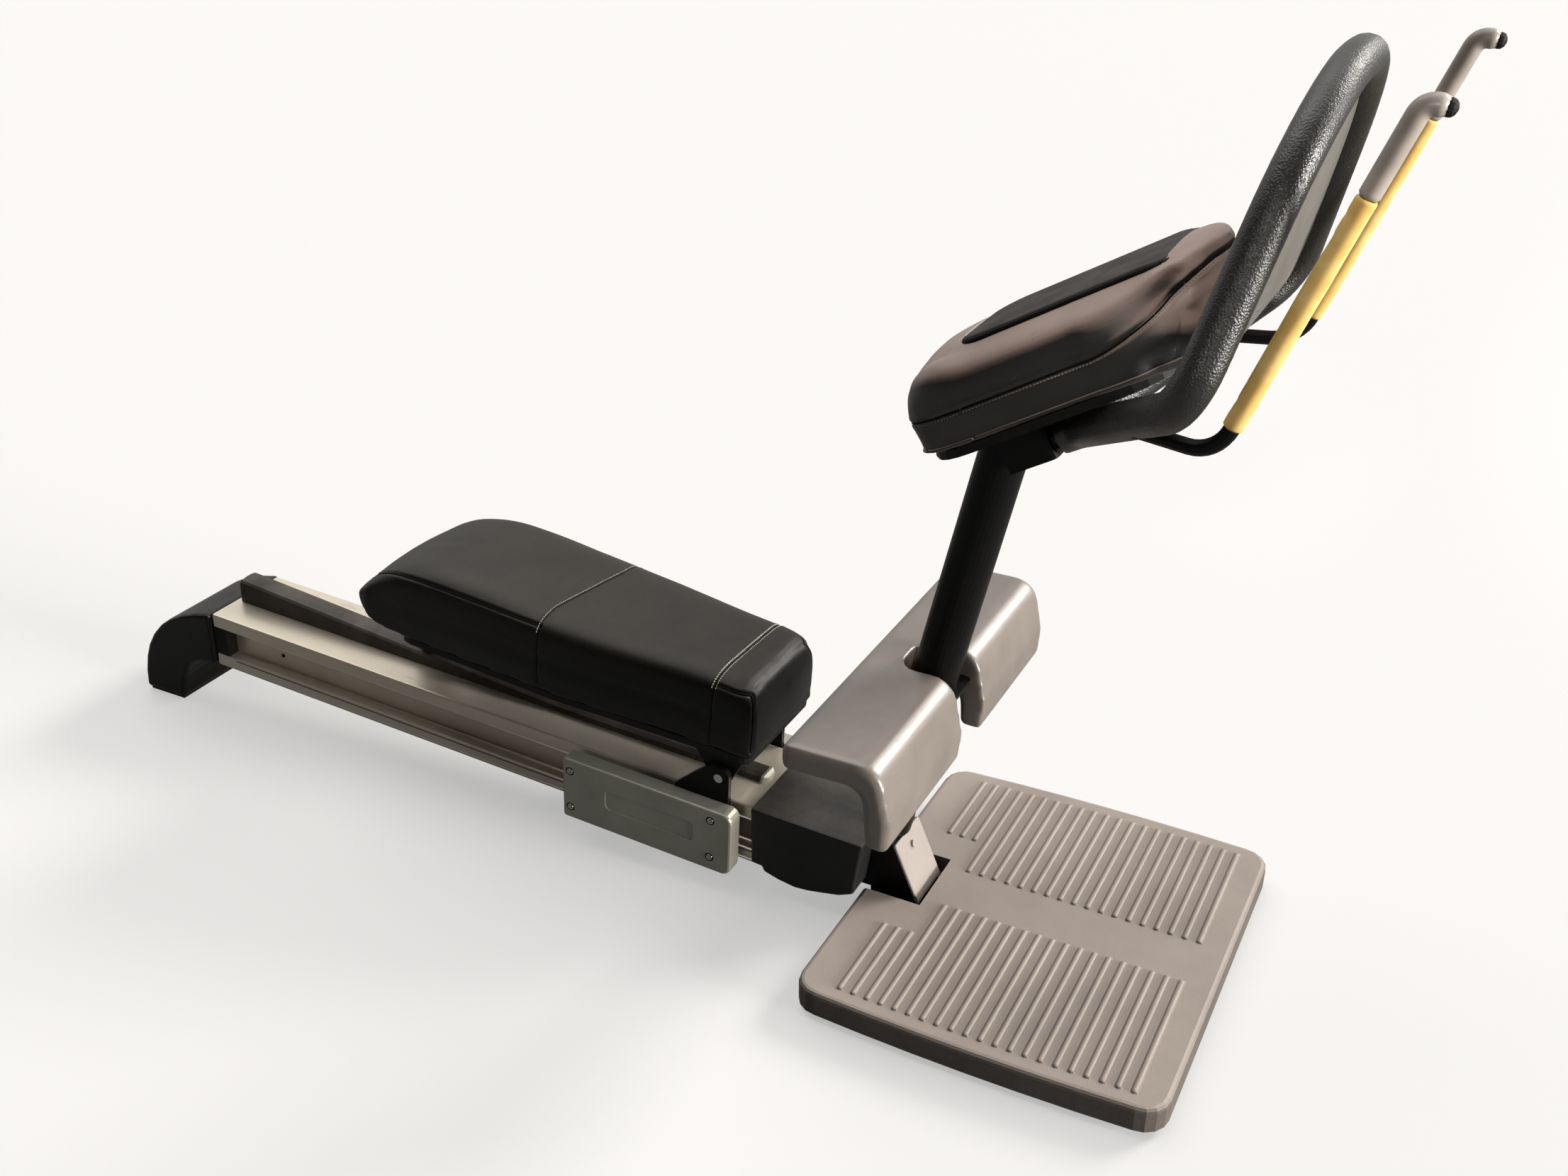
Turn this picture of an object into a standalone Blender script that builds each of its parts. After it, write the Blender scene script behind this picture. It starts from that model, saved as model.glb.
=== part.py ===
"""Stretching machine: a seat that rolls along an inclined rail in front of a padded column.

Run with: blender --background --python part.py
Units are metres, +Z is up and +X is the front, where the footplate stands.
The origin is on the floor, under the middle of the machine.
"""

import math

import bmesh
import bpy
from mathutils import Matrix, Vector

# General clearances
SEAT_GAP = 0.0003        # between two pieces that touch
RUN_GAP = 0.0015         # between pieces that slide past each other
CUT_PAST = 0.010         # how far a cutter runs past the face it opens
FINE_EDGE = 0.0015       # small rounding of sawn or moulded edges
HOLE_REACH = 0.150       # half length of the cutters that drill holes along Y
HOLE_SIDES = 20

# Footplate, whose rear edge is the working zero of X
PLATE_LENGTH = 0.566
PLATE_HALF_WIDTH = 0.325
PLATE_SIDE_BOW = 0.007
PLATE_TOP = 0.0527
PLATE_SKIRT = 0.041
PLATE_CORNER = 0.040
PLATE_EDGE_ROUND = 0.008
PLATE_SKIN = 0.008
POCKET_MARGIN = 0.075
POCKET_INNER = 0.085
RECESS_LENGTH = 0.099
RECESS_HALF_WIDTH = 0.066
RECESS_FLOOR = 0.022
RIB_FRONT_MARGIN = 0.045
RIB_FIRST = 0.0695
RIB_PITCH = 0.02233
RIB_WIDTH = 0.0105
RIB_HEIGHT = 0.0022
RIB_SLOPE = 0.0022
RIB_INNER = 0.0471
RIB_INNER_WIDE = 0.1309
RIBS_BESIDE_RECESS = 3
RIB_OUTER = 0.2968
RIB_OUTER_BOW = 0.0081
RIB_SUNK = 0.002
FOOT_RADIUS = 0.018
FOOT_INSET = 0.046

# Rail, modelled in its own frame: x along the rail, z square to it, zero on its top face
RAIL_INCLINE = math.radians(2.989)
RAIL_REF_X = -0.1921
RAIL_REF_Z = 0.1601
RAIL_REAR = -1.359
RAIL_FRONT = -0.076
RAIL_HALF_WIDTH = 0.087
RAIL_WEB_HALF = 0.062
RAIL_HEIGHT = 0.112
RAIL_LIP = 0.026
RAIL_LEDGE = 0.026
RAIL_WALL = 0.006
RAIL_ROUND = 0.003
PLUG_LENGTH = 0.034
PLUG_PROUD = 0.004

# Ramp strip on the rail
RAMP_HALF_WIDTH = 0.022
RAMP_REAR = -1.350
RAMP_HEIGHT = 0.0490
RAMP_SLOPE = 0.0538
RAMP_LOW = 0.010
RAMP_FRONT = -0.212
RAMP_EDGE_ROUND = 0.0056
RAMP_LEAD = 0.006        # the short chamfer at its rear end
RAMP_CAP_LENGTH = 0.010
RAMP_CAP_TAPER = 0.8

# Rear foot
REAR_FOOT_HALF = 0.095
REAR_FOOT_ROUND = 0.007
REAR_FOOT_TOE = -1.574
REAR_FOOT_HEEL = -1.474
REAR_FOOT_BACK_CURVE = (-1.562, 0.188)
REAR_FOOT_FRONT_CURVE = (-1.459, 0.121)
REAR_SOLE = 0.006
REAR_SOLE_INSET = 0.006

# Front housing and base frame
HOUSING_OUTLINE = [
    (-0.190, 0.163), (0.010, 0.155), (-0.005, 0.055), (-0.030, 0.044), (-0.059, 0.038), (-0.085, 0.033),
    (-0.110, 0.031), (-0.140, 0.036), (-0.167, 0.044), (-0.170, 0.053), (-0.190, 0.055),
]
HOUSING_HALF = 0.0955
HOUSING_SIDE_WALL = 0.006
HOUSING_FRONT_WALL = 0.010
HOUSING_ROUND = 0.004
DOORWAY_REAR = -0.060
BASE_HALF = 0.044
BASE_TOP = 0.1365
BASE_STEP_X = 0.004
BASE_REAR_DROP = 0.020
PEDESTAL_TOP_X = 0.046
PEDESTAL_FOOT_X = 0.090
PEDESTAL_FOOT_Z = 0.036
PEDESTAL_PLATE = 0.006
PEDESTAL_PLATE_HALF = 0.046
PEDESTAL_BOLT_R = 0.006
PEDESTAL_BOLT_HIGH = 0.004
PEDESTAL_BOLT_SHARE = 0.22

# Column
COLUMN_LEAN = math.radians(12.5)
COLUMN_REF_X = 0.087
COLUMN_REF_Z = 0.471
COLUMN_RADIUS = 0.0355
COLUMN_WALL = 0.004
COLUMN_SIDES = 32

# Shin pad: a flat top that rolls over and down at the front, as (x, z, corner radius)
SHIN_UNDER = 0.424
SHIN_CORNERS = [
    (-0.022, 0.467, 0.012), (0.128, 0.467, 0.040), (0.145, 0.384, 0.030), (0.142, 0.330, 0.011),
    (0.107, 0.334, 0.010), (0.100, SHIN_UNDER + 0.002, 0.024), (-0.022, SHIN_UNDER, 0.010),
]
SHIN_HALF = 0.315
SHIN_ROUND = 0.009
SHIN_SLOT_HALF = 0.044
SHIN_SLOT_GAP = 0.003
SHIN_SLOT_CORNER = 0.030
SHIN_BRACKET_HALF = 0.130
SHIN_BRACKET_THICK = 0.005
SHIN_BRACKET_SHOULDER = 0.072
SHIN_BRACKET_RIM = 0.012
SHIN_BRACKET_CORNER = 0.012

# Chest pad, modelled in a frame that is inclined about Y: s along it, n square to it
CHEST_INCLINE = math.radians(30.0)
CHEST_BOARD_BOTTOM = 0.672
CHEST_BOARD_THICK = 0.012
CHEST_REAR = 0.496
CHEST_FRONT = 0.975
CHEST_HALF = 0.155
CHEST_TOP = 0.802
CHEST_CROWN = 0.007
CHEST_SEAM = 0.056
CHEST_SHOULDER = 0.065
CHEST_DRAW_IN = 0.008
CHEST_END_ROUND = 0.085
CHEST_REAR_PULL = 0.062
CHEST_REAR_ROLL = 0.055
CHEST_REAR_DROP = 0.062
CHEST_FRONT_ROUND = 0.030
CHEST_FRONT_PULL = 0.018
CHEST_FRONT_ROLL = 0.060
CHEST_FRONT_LEAN = 0.091
CHEST_LEAN_REACH = 0.200
CHEST_FRONT_SEAM = 0.785
CHEST_STATIONS = [
    0.0, 0.012, 0.035, 0.07, 0.12, 0.19, 0.30, 0.42, 0.55, 0.68, 0.79, 0.86, 0.915, 0.955, 0.982, 1.0,
]
BOARD_INSET = 0.010
BOARD_CORNER = 0.075
INLAY_REAR = 0.600
INLAY_FRONT = 0.885
INLAY_HALF = 0.090
INLAY_CORNER = 0.050
INLAY_GROOVE = 0.005
INLAY_FLOOR = 0.780
INLAY_PROUD = 0.0025
INLAY_EDGE_IN = 0.006
INLAY_EDGE_DOWN = 0.003

# Column head
HEAD_REAR = 0.490
HEAD_FRONT = 0.745
HEAD_HALF = 0.075
HEAD_PLATE = 0.005
HEAD_CORNER = 0.015
HUB_CORNER = 0.008
HUB_REAR = 0.575
HUB_FRONT = 0.648
HUB_HALF = 0.056
HUB_BOTTOM = 0.607

# Foam loop
LOOP_TUBE_R = 0.015
LOOP_FOAM_R = 0.0255
LOOP_BORE_GAP = 0.0005
LOOP_LEVEL = 0.630
LOOP_START_Y = 0.036
LOOP_START_RUN = 0.036
LOOP_START_BEND = 0.040
LOOP_KNEE = (0.465, 0.286, 1.036)
LOOP_KNEE_BEND = 0.070
LOOP_TOP = (0.547, 0.171, 1.370)
LOOP_TOP_BEND = 0.218
LOOP_FOAM_START = 0.008
PANEL_BOTTOM = 1.055
PANEL_THICK = 0.008
PANEL_LOW_CORNER = 0.050

# Handlebars
HANDLE_TUBE_R = 0.0100
HANDLE_GRIP_R = 0.0119
HANDLE_SLEEVE_R = 0.0115
HANDLE_BORE_GAP = 0.0004
HANDLE_ROOT = (0.386, 0.194, 0.966)   # where each handle is welded to the leg of the loop
HANDLE_Y = 0.225
HANDLE_LEAN = math.radians(20.7)
GRIP_LOW_X = 0.508
GRIP_LOW_Z = 1.001
GRIP_LENGTH = 0.290
SLEEVE_LENGTH = 0.085
HANDLE_KNEE_DROP = 0.038
HANDLE_KNEE_BEND = 0.052
HANDLE_TOP_RISE = 0.397
HANDLE_TOP_BEND = 0.016
HANDLE_TIP_REACH = 0.024
HANDLE_TIP_FALL = 0.004
HANDLE_CAP_LENGTH = 0.008
HANDLE_CAP_CURVE = math.radians(81.0)

# Carriage, in the rail's frame
CARRIAGE_REAR = -0.531
CARRIAGE_FRONT = -0.205
CARRIAGE_INNER = 0.099
CARRIAGE_OUTER = 0.131
CARRIAGE_DEPTH = 0.120
CARRIAGE_WALL = 0.006
CARRIAGE_NOSE_WALL = 0.018
CARRIAGE_EDGE = 0.004
CARRIAGE_REAR_CORNER = 0.006
CARRIAGE_FRONT_CORNER = 0.016
BADGE_DEEP = 0.002
BADGE_REAR_MARGIN = 0.085
BADGE_FRONT_MARGIN = 0.070
BADGE_TOP = -0.036
BADGE_HEIGHT = 0.038
BADGE_CORNER = 0.008
CROSS_PLATE_THICK = 0.0035
CROSS_PLATE_INSET = 0.030
EAR_THICK = 0.009
EAR_BOTTOM = -0.040
EAR_REAR = -0.330
EAR_REAR_TOP = 0.004
EAR_HEAD = 0.020         # how far the ear's head reaches round the hinge pin
ROLLER_R = 0.0292
ROLLER_WIDTH = 0.020
ROLLER_RIM = 0.002
ROLLER_SIDE_GAP = 0.002
ROLLER_SIDES = 28
ROLLER_X = (-0.300, -0.450)
AXLE_R = 0.006
AXLE_SHOULDER = 0.003

# Seat, in a frame on the hinge pin, turned with the seat board
PIVOT_X = -0.247
PIVOT_Z = 0.205
PIVOT_PIN_R = 0.008
SEAT_SLOPE = math.radians(5.56)
SEAT_BOARD_BOTTOM = 0.0535
SEAT_BOARD_THICK = 0.012
SEAT_BOARD_CORNER = 0.030
SEAT_BOARD_SWEEP = 0.200
SEAT_TOP = 0.206
SEAT_DIP = 0.010
SEAT_DIP_START = -0.500
SEAT_DIP_END = -0.300
SEAT_FALL = 0.005
SEAT_CROWN = 0.006
SEAT_NOSE = -0.721
SEAT_NOSE_LENGTH = 0.190
SEAT_NOSE_LOW = 0.095
SEAT_NOSE_Z = 0.1115
SEAT_NOSE_THICK = 0.004
SEAT_NOSE_START = 1.6    # the two powers that shape the roll-over at the rear
SEAT_NOSE_END = 0.62
SEAT_REAR_ROUND = 0.045
SEAT_REAR_PULL = 0.030
SEAT_FRONT = 0.062
SEAT_FRONT_ROUND = 0.022
SEAT_FRONT_PULL = 0.018
SEAT_FRONT_ROLL = 0.024
SEAT_SHOULDER = 0.040
SEAT_DRAW_IN = 0.006
SEAT_SEAM_SHARE = 0.62
SEAT_STATIONS = [0.0, 0.004, 0.014, 0.032, 0.060, 0.098, 0.145, 0.19, 0.26, 0.34, 0.42, 0.50, 0.57, 0.64]
SEAT_FRONT_STATIONS = [0.050, 0.024, 0.012, 0.004, 0.0]
SEAT_HALF_REAR = 0.140
SEAT_HALF_FRONT = 0.119
SEAT_TAPER_REAR = -0.300
SEAT_TAPER_FRONT = -0.020
LUG_THICK = 0.008
LUG_GAP = 0.0005
LUG_REAR = 0.060
LUG_FRONT = 0.042
LUG_NOSE = 0.014
SEAT_ROLLER_R = 0.028
SEAT_ROLLER_WIDTH = 0.032
SEAT_ROLLER_RIM = 0.003
SEAT_ROLLER_X = -0.905
FORK_THICK = 0.005
FORK_LENGTH = 0.070
FORK_NOSE = 0.012
FORK_SIDE_GAP = 0.001
SEAT_AXLE_PROUD = 0.003
TAB_LENGTH = 0.034
TAB_WIDTH = 0.040
TAB_THICK = 0.006
TAB_INNER = 0.060
SEAT_TAB_MARGIN = 0.006


# Small tools

def clear_scene():
    for item in list(bpy.data.objects):
        bpy.data.objects.remove(item, do_unlink=True)


def material(name, colour, roughness, metallic=0.0):
    found = bpy.data.materials.get(name)
    if found:
        return found
    made = bpy.data.materials.new(name)
    made.use_nodes = True
    shader = made.node_tree.nodes["Principled BSDF"]
    shader.inputs["Base Color"].default_value = (*colour, 1.0)
    shader.inputs["Roughness"].default_value = roughness
    shader.inputs["Metallic"].default_value = metallic
    return made


def satin_black():
    return material("satin_black", (0.022, 0.022, 0.023), 0.42)


def aluminium():
    return material("aluminium", (0.60, 0.57, 0.50), 0.38, 0.9)


def black_leather():
    return material("black_leather", (0.026, 0.025, 0.023), 0.48)


def grey_foam():
    return material("grey_foam", (0.20, 0.175, 0.150), 0.62)


def grey_plastic():
    return material("grey_plastic", (0.19, 0.165, 0.150), 0.55)


def black_rubber():
    return material("black_rubber", (0.018, 0.018, 0.018), 0.85)


def black_foam():
    return material("black_foam", (0.035, 0.035, 0.034), 0.75)


def mustard_grip():
    return material("mustard_grip", (0.55, 0.34, 0.09), 0.60)


def bright_steel():
    return material("bright_steel", (0.72, 0.72, 0.70), 0.18, 1.0)


def board_black():
    return material("board_black", (0.030, 0.029, 0.028), 0.60)


def empty_at(name, location, turn_y=0.0, parent=None):
    """An empty that marks a frame; turn_y turns it about Y."""
    holder = bpy.data.objects.new(name, None)
    bpy.context.scene.collection.objects.link(holder)
    holder.location = location
    holder.rotation_euler = (0.0, turn_y, 0.0)
    holder.parent = parent
    return holder


def finish(name, bm, look, parent=None, location=(0.0, 0.0, 0.0), smooth=None):
    """Turns a bmesh into a named object; smooth is the angle past which an edge stays sharp."""
    bmesh.ops.recalc_face_normals(bm, faces=bm.faces)
    mesh = bpy.data.meshes.new(name)
    bm.to_mesh(mesh)
    bm.free()
    if smooth is not None:
        mesh.shade_smooth()
        mesh.set_sharp_from_angle(angle=math.radians(smooth))
    mesh.materials.append(look)
    item = bpy.data.objects.new(name, mesh)
    bpy.context.scene.collection.objects.link(item)
    item.location = location
    item.parent = parent
    return item


def boolean(item, tool, operation="DIFFERENCE"):
    """Cuts or joins with a helper object, which is kept but never rendered."""
    tool.hide_render = True
    tool.display_type = "WIRE"
    step = item.modifiers.new(operation.lower() + "_" + tool.name, "BOOLEAN")
    step.operation = operation
    step.solver = "EXACT"
    step.object = tool
    return step


def bevel(item, width, segments=2, angle=35.0):
    step = item.modifiers.new("edge_round", "BEVEL")
    step.width = width
    step.segments = segments
    step.limit_method = "ANGLE"
    step.angle_limit = math.radians(angle)
    return step


def loft(bm, rings, close=True):
    """Joins rings of equally many points with faces; close caps the first and the last ring."""
    rows = [[bm.verts.new(point) for point in ring] for ring in rings]
    count = len(rows[0])
    for row, following in zip(rows, rows[1:]):
        for index in range(count):
            after = (index + 1) % count
            bm.faces.new((row[index], row[after], following[after], following[index]))
    if close:
        bm.faces.new(rows[0])
        bm.faces.new(rows[-1])
    return rows


def prism(outline, low, high, axis="Y"):
    """Extrudes a 2-D outline from low to high along Y (outline in x, z) or Z (outline in x, y)."""
    bm = bmesh.new()
    if axis == "Y":
        rings = [[(a, level, b) for a, b in outline] for level in (low, high)]
    else:
        rings = [[(a, b, level) for a, b in outline] for level in (low, high)]
    loft(bm, rings)
    return bm


def box(low, high):
    (x0, y0, z0), (x1, y1, z1) = low, high
    return prism([(x0, z0), (x1, z0), (x1, z1), (x0, z1)], y0, y1)


def fillet(before, corner, after, radius, steps):
    """Points of a round of the given radius between two straight runs, in 2-D or 3-D."""
    back = (before - corner).normalized()
    ahead = (after - corner).normalized()
    half = back.angle(ahead) / 2.0
    reach = radius / math.tan(half)
    centre = corner + (back + ahead).normalized() * (radius / math.sin(half))
    first = corner + back * reach - centre
    last = corner + ahead * reach - centre
    sweep_angle = math.pi - 2.0 * half
    points = []
    for step in range(steps + 1):
        share = sweep_angle * step / steps
        blend = (first * math.sin(sweep_angle - share) + last * math.sin(share)) / math.sin(sweep_angle)
        points.append(centre + blend)
    return points


def rounded_outline(corners, steps=4):
    """Closed 2-D outline from (a, b, radius) corners."""
    points = []
    count = len(corners)
    for index, (a, b, radius) in enumerate(corners):
        here = Vector((a, b))
        if radius <= 0.0:
            points.append((a, b))
            continue
        before = Vector(corners[index - 1][:2])
        after = Vector(corners[(index + 1) % count][:2])
        points.extend(tuple(point) for point in fillet(before, here, after, radius, steps))
    return points


def rounded_path(corners):
    """Open 3-D path from (point, radius, steps) corners."""
    points = [Vector(corners[0][0])]
    for before, here, after in zip(corners, corners[1:], corners[2:]):
        arc = fillet(Vector(before[0]), Vector(here[0]), Vector(after[0]), here[1], here[2])
        points.extend(arc)
    points.append(Vector(corners[-1][0]))
    return points


def curve_point(start, control, end, share):
    """A point on a quadratic curve in 2-D."""
    back = 1.0 - share
    a = start[0] * back * back + 2.0 * control[0] * back * share + end[0] * share * share
    b = start[1] * back * back + 2.0 * control[1] * back * share + end[1] * share * share
    return (a, b)


def tube_rings(path, radius, sides):
    """Rings of a tube along a path, carried along without twist."""
    rings = []
    side = None
    for index, point in enumerate(path):
        before = path[max(index - 1, 0)]
        after = path[min(index + 1, len(path) - 1)]
        ahead = (after - before).normalized()
        if side is None:
            side = ahead.orthogonal().normalized()
        side = (side - ahead * side.dot(ahead)).normalized()
        other = ahead.cross(side)
        ring = []
        for step in range(sides):
            turn = 2.0 * math.pi * step / sides
            ring.append(point + (side * math.cos(turn) + other * math.sin(turn)) * radius)
        rings.append(ring)
    return rings


def tube(path, radius, sides, bore=None):
    """A bent rod, or with a bore a bent sleeve whose ends are open."""
    bm = bmesh.new()
    outer = tube_rings(path, radius, sides)
    if bore is None:
        loft(bm, outer)
        return bm
    outside = loft(bm, outer, close=False)
    inside = loft(bm, tube_rings(path, bore, sides), close=False)
    for out_row, in_row in ((outside[0], inside[0]), (outside[-1], inside[-1])):
        for index in range(sides):
            after = (index + 1) % sides
            bm.faces.new((out_row[index], out_row[after], in_row[after], in_row[index]))
    return bm


def turned(profile, sides, centre=(0.0, 0.0, 0.0)):
    """A piece turned about Y from (y, radius) points, the first and last on the axis or flat."""
    bm = bmesh.new()
    rings = []
    for y, radius in profile:
        ring = []
        for step in range(sides):
            turn = 2.0 * math.pi * step / sides
            x = centre[0] + radius * math.cos(turn)
            z = centre[2] + radius * math.sin(turn)
            ring.append((x, centre[1] + y, z))
        rings.append(ring)
    loft(bm, rings)
    return bm


def ring_about_y(radius, y, sides):
    ring = []
    for step in range(sides):
        turn = 2.0 * math.pi * step / sides
        ring.append((radius * math.cos(turn), y, radius * math.sin(turn)))
    return ring


def make_roller(name, radius, width, rim, parent, place):
    """A wheel with chamfered rims and a bore for its axle, whose origin is on its axis."""
    half = width / 2.0
    bore = AXLE_R + SEAT_GAP
    profile = [(-half, bore), (-half, radius - rim), (-half + rim, radius), (half - rim, radius),
               (half, radius - rim), (half, bore)]
    bm = bmesh.new()
    rows = loft(bm, [ring_about_y(reach, y, ROLLER_SIDES) for y, reach in profile], close=False)
    for step in range(ROLLER_SIDES):
        after = (step + 1) % ROLLER_SIDES
        bm.faces.new((rows[-1][step], rows[-1][after], rows[0][after], rows[0][step]))
    return finish(name, bm, black_rubber(), parent, location=place, smooth=40)


def drill(item, name, radius, parent, centre=(0.0, 0.0, 0.0)):
    """Opens a hole along Y right through a piece."""
    hole = turned([(-HOLE_REACH, radius), (HOLE_REACH, radius)], HOLE_SIDES, centre=centre)
    boolean(item, finish(name, hole, satin_black(), parent))


def eased(share):
    """Goes from 0 to 1 with a soft start and a soft end."""
    held = min(max(share, 0.0), 1.0)
    return held * held * (3.0 - 2.0 * held)


def roll_over(distance, reach, start=2.0, end=0.5):
    """1 at a cushion's edge, falling to 0 at the given reach from it, like a quarter round."""
    near = max(0.0, 1.0 - max(distance, 0.0) / reach)
    return 1.0 - (1.0 - near ** start) ** end


# Places that several pieces share

def rail_point(x, z):
    """World x and z of a point given in the rail's frame."""
    along = x - RAIL_REF_X
    wx = RAIL_REF_X + along * math.cos(RAIL_INCLINE) + z * math.sin(RAIL_INCLINE)
    wz = RAIL_REF_Z - along * math.sin(RAIL_INCLINE) + z * math.cos(RAIL_INCLINE)
    return (wx, wz)


def to_rail(x, z):
    """Rail-frame x and z of a world point."""
    dx = x - RAIL_REF_X
    dz = z - RAIL_REF_Z
    rx = RAIL_REF_X + dx * math.cos(RAIL_INCLINE) - dz * math.sin(RAIL_INCLINE)
    rz = dx * math.sin(RAIL_INCLINE) + dz * math.cos(RAIL_INCLINE)
    return (rx, rz)


def to_seat(x, z):
    """Seat-frame x and z of a world point."""
    dx = x - PIVOT_X
    dz = z - PIVOT_Z
    sx = dx * math.cos(SEAT_SLOPE) - dz * math.sin(SEAT_SLOPE)
    sz = dx * math.sin(SEAT_SLOPE) + dz * math.cos(SEAT_SLOPE)
    return (sx, sz)


def chest_point(s, y, n):
    """World place of a point given in the chest pad's inclined frame."""
    x = s * math.cos(CHEST_INCLINE) - n * math.sin(CHEST_INCLINE)
    z = s * math.sin(CHEST_INCLINE) + n * math.cos(CHEST_INCLINE)
    return Vector((x, y, z))


def column_x(z):
    return COLUMN_REF_X + (z - COLUMN_REF_Z) * math.tan(COLUMN_LEAN)


def column_rings(radius, low_level, head_level):
    """Two rings round the column: the lower one level, the upper one parallel to the chest board."""
    axis = Vector((math.sin(COLUMN_LEAN), 0.0, math.cos(COLUMN_LEAN)))
    side = Vector((0.0, 1.0, 0.0))
    ahead = side.cross(axis).normalized()
    head_normal = Vector((-math.sin(CHEST_INCLINE), 0.0, math.cos(CHEST_INCLINE)))
    start = Vector((column_x(low_level), 0.0, low_level))
    low = []
    high = []
    for step in range(COLUMN_SIDES):
        turn = 2.0 * math.pi * step / COLUMN_SIDES
        spot = start + (side * math.cos(turn) + ahead * math.sin(turn)) * radius
        low.append(spot + axis * ((low_level - spot.z) / axis.z))
        reach = (head_level - spot.dot(head_normal)) / axis.dot(head_normal)
        high.append(spot + axis * reach)
    return [low, high]


def column_rod(name, radius, low, high, parent):
    """A cutter that follows the column, a clearance wider."""
    path = [Vector((column_x(level), 0.0, level)) for level in (low, high)]
    return finish(name, tube(path, radius, COLUMN_SIDES), satin_black(), parent)


def ramp_height(x):
    """Height of the ramp strip above the rail at x in the rail's frame."""
    return max(RAMP_HEIGHT - RAMP_SLOPE * (x - RAMP_REAR), RAMP_LOW)


# Base and rail

def make_rail(rail_frame):
    wide = RAIL_HALF_WIDTH
    web = RAIL_WEB_HALF
    low = -RAIL_HEIGHT
    step = low + RAIL_LEDGE
    corners = [
        (-wide, 0.0, RAIL_ROUND), (wide, 0.0, RAIL_ROUND), (wide, -RAIL_LIP, 0.0), (web, -RAIL_LIP, 0.0),
        (web, step, 0.0), (wide, step, 0.0), (wide, low, RAIL_ROUND), (-wide, low, RAIL_ROUND),
        (-wide, step, 0.0), (-web, step, 0.0), (-web, -RAIL_LIP, 0.0), (-wide, -RAIL_LIP, 0.0),
    ]
    outline = rounded_outline(corners, steps=2)
    bm = bmesh.new()
    loft(bm, [[(x, y, z) for y, z in outline] for x in (RAIL_REAR, RAIL_FRONT)])
    rail = finish("rail", bm, aluminium(), rail_frame, smooth=30)
    core = box((RAIL_REAR - CUT_PAST, -web + RAIL_WALL, low + RAIL_WALL),
               (RAIL_FRONT + CUT_PAST, web - RAIL_WALL, -RAIL_WALL))
    boolean(rail, finish("rail_core", core, aluminium(), rail_frame))

    for side, word in ((-1, "right"), (1, "left")):
        low_y, high_y = sorted((side * (web + SEAT_GAP), side * wide))
        plug = box((RAIL_REAR - PLUG_PROUD, low_y, step + SEAT_GAP),
                   (RAIL_REAR - PLUG_PROUD + PLUG_LENGTH, high_y, -RAIL_LIP - SEAT_GAP))
        item = finish("rail_plug_" + word, plug, black_rubber(), rail_frame)
        bevel(item, FINE_EDGE, 1)


def make_ramp(rail_frame):
    flat_from = RAMP_REAR + (RAMP_HEIGHT - RAMP_LOW) / RAMP_SLOPE
    rings = []
    for x, cut in ((RAMP_REAR, RAMP_LEAD), (RAMP_REAR + RAMP_LEAD, 0.0), (flat_from, 0.0), (RAMP_FRONT, 0.0)):
        half = RAMP_HALF_WIDTH - cut / 2.0
        shoulder = ramp_height(x) - cut - RAMP_EDGE_ROUND
        profile = [(-half, SEAT_GAP), (half, SEAT_GAP), (half, shoulder)]
        for step in range(1, 5):
            turn = math.pi * step / 5.0
            profile.append((half * math.cos(turn), shoulder + RAMP_EDGE_ROUND * math.sin(turn)))
        profile.append((-half, shoulder))
        rings.append([(x, y, z) for y, z in profile])
    bm = bmesh.new()
    loft(bm, rings)
    finish("ramp_strip", bm, board_black(), rail_frame, smooth=40)

    start = RAMP_FRONT + SEAT_GAP
    rings = []
    for step in range(5):
        turn = math.pi / 2.0 * step / 4.0
        x = start + RAMP_CAP_LENGTH * math.sin(turn)
        half = RAMP_HALF_WIDTH * (1.0 + 2.0 * math.cos(turn)) / 3.0
        top = SEAT_GAP + (RAMP_LOW - SEAT_GAP) * (1.0 + 3.0 * math.cos(turn)) / 4.0
        slim = half * RAMP_CAP_TAPER
        rings.append([(x, -half, SEAT_GAP), (x, half, SEAT_GAP), (x, slim, top), (x, -slim, top)])
    bm = bmesh.new()
    loft(bm, rings)
    finish("ramp_end_cap", bm, bright_steel(), rail_frame, smooth=40)


def make_rear_foot(root):
    """A thick curved leg: it takes the rail's end and sweeps back and down to the floor."""
    top = rail_point(RAIL_REAR - SEAT_GAP - PLUG_PROUD, 0.0)
    low = rail_point(RAIL_REAR - SEAT_GAP - PLUG_PROUD, -RAIL_HEIGHT)
    sole = REAR_SOLE + SEAT_GAP
    toe = (REAR_FOOT_TOE, sole)
    heel = (REAR_FOOT_HEEL, sole)
    outer = [curve_point(top, REAR_FOOT_BACK_CURVE, toe, step / 9.0) for step in range(10)]
    inner = [curve_point(heel, REAR_FOOT_FRONT_CURVE, low, step / 8.0) for step in range(9)]
    foot = finish("rear_foot", prism(outer + inner, -REAR_FOOT_HALF, REAR_FOOT_HALF), satin_black(), root,
                  smooth=50)
    bevel(foot, REAR_FOOT_ROUND, 2, 50)
    half = REAR_FOOT_HALF - REAR_SOLE_INSET
    pad = box((REAR_FOOT_TOE + REAR_SOLE_INSET, -half, 0.0),
              (REAR_FOOT_HEEL - REAR_SOLE_INSET, half, REAR_SOLE))
    finish("rear_foot_pad", pad, black_rubber(), root)


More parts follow.
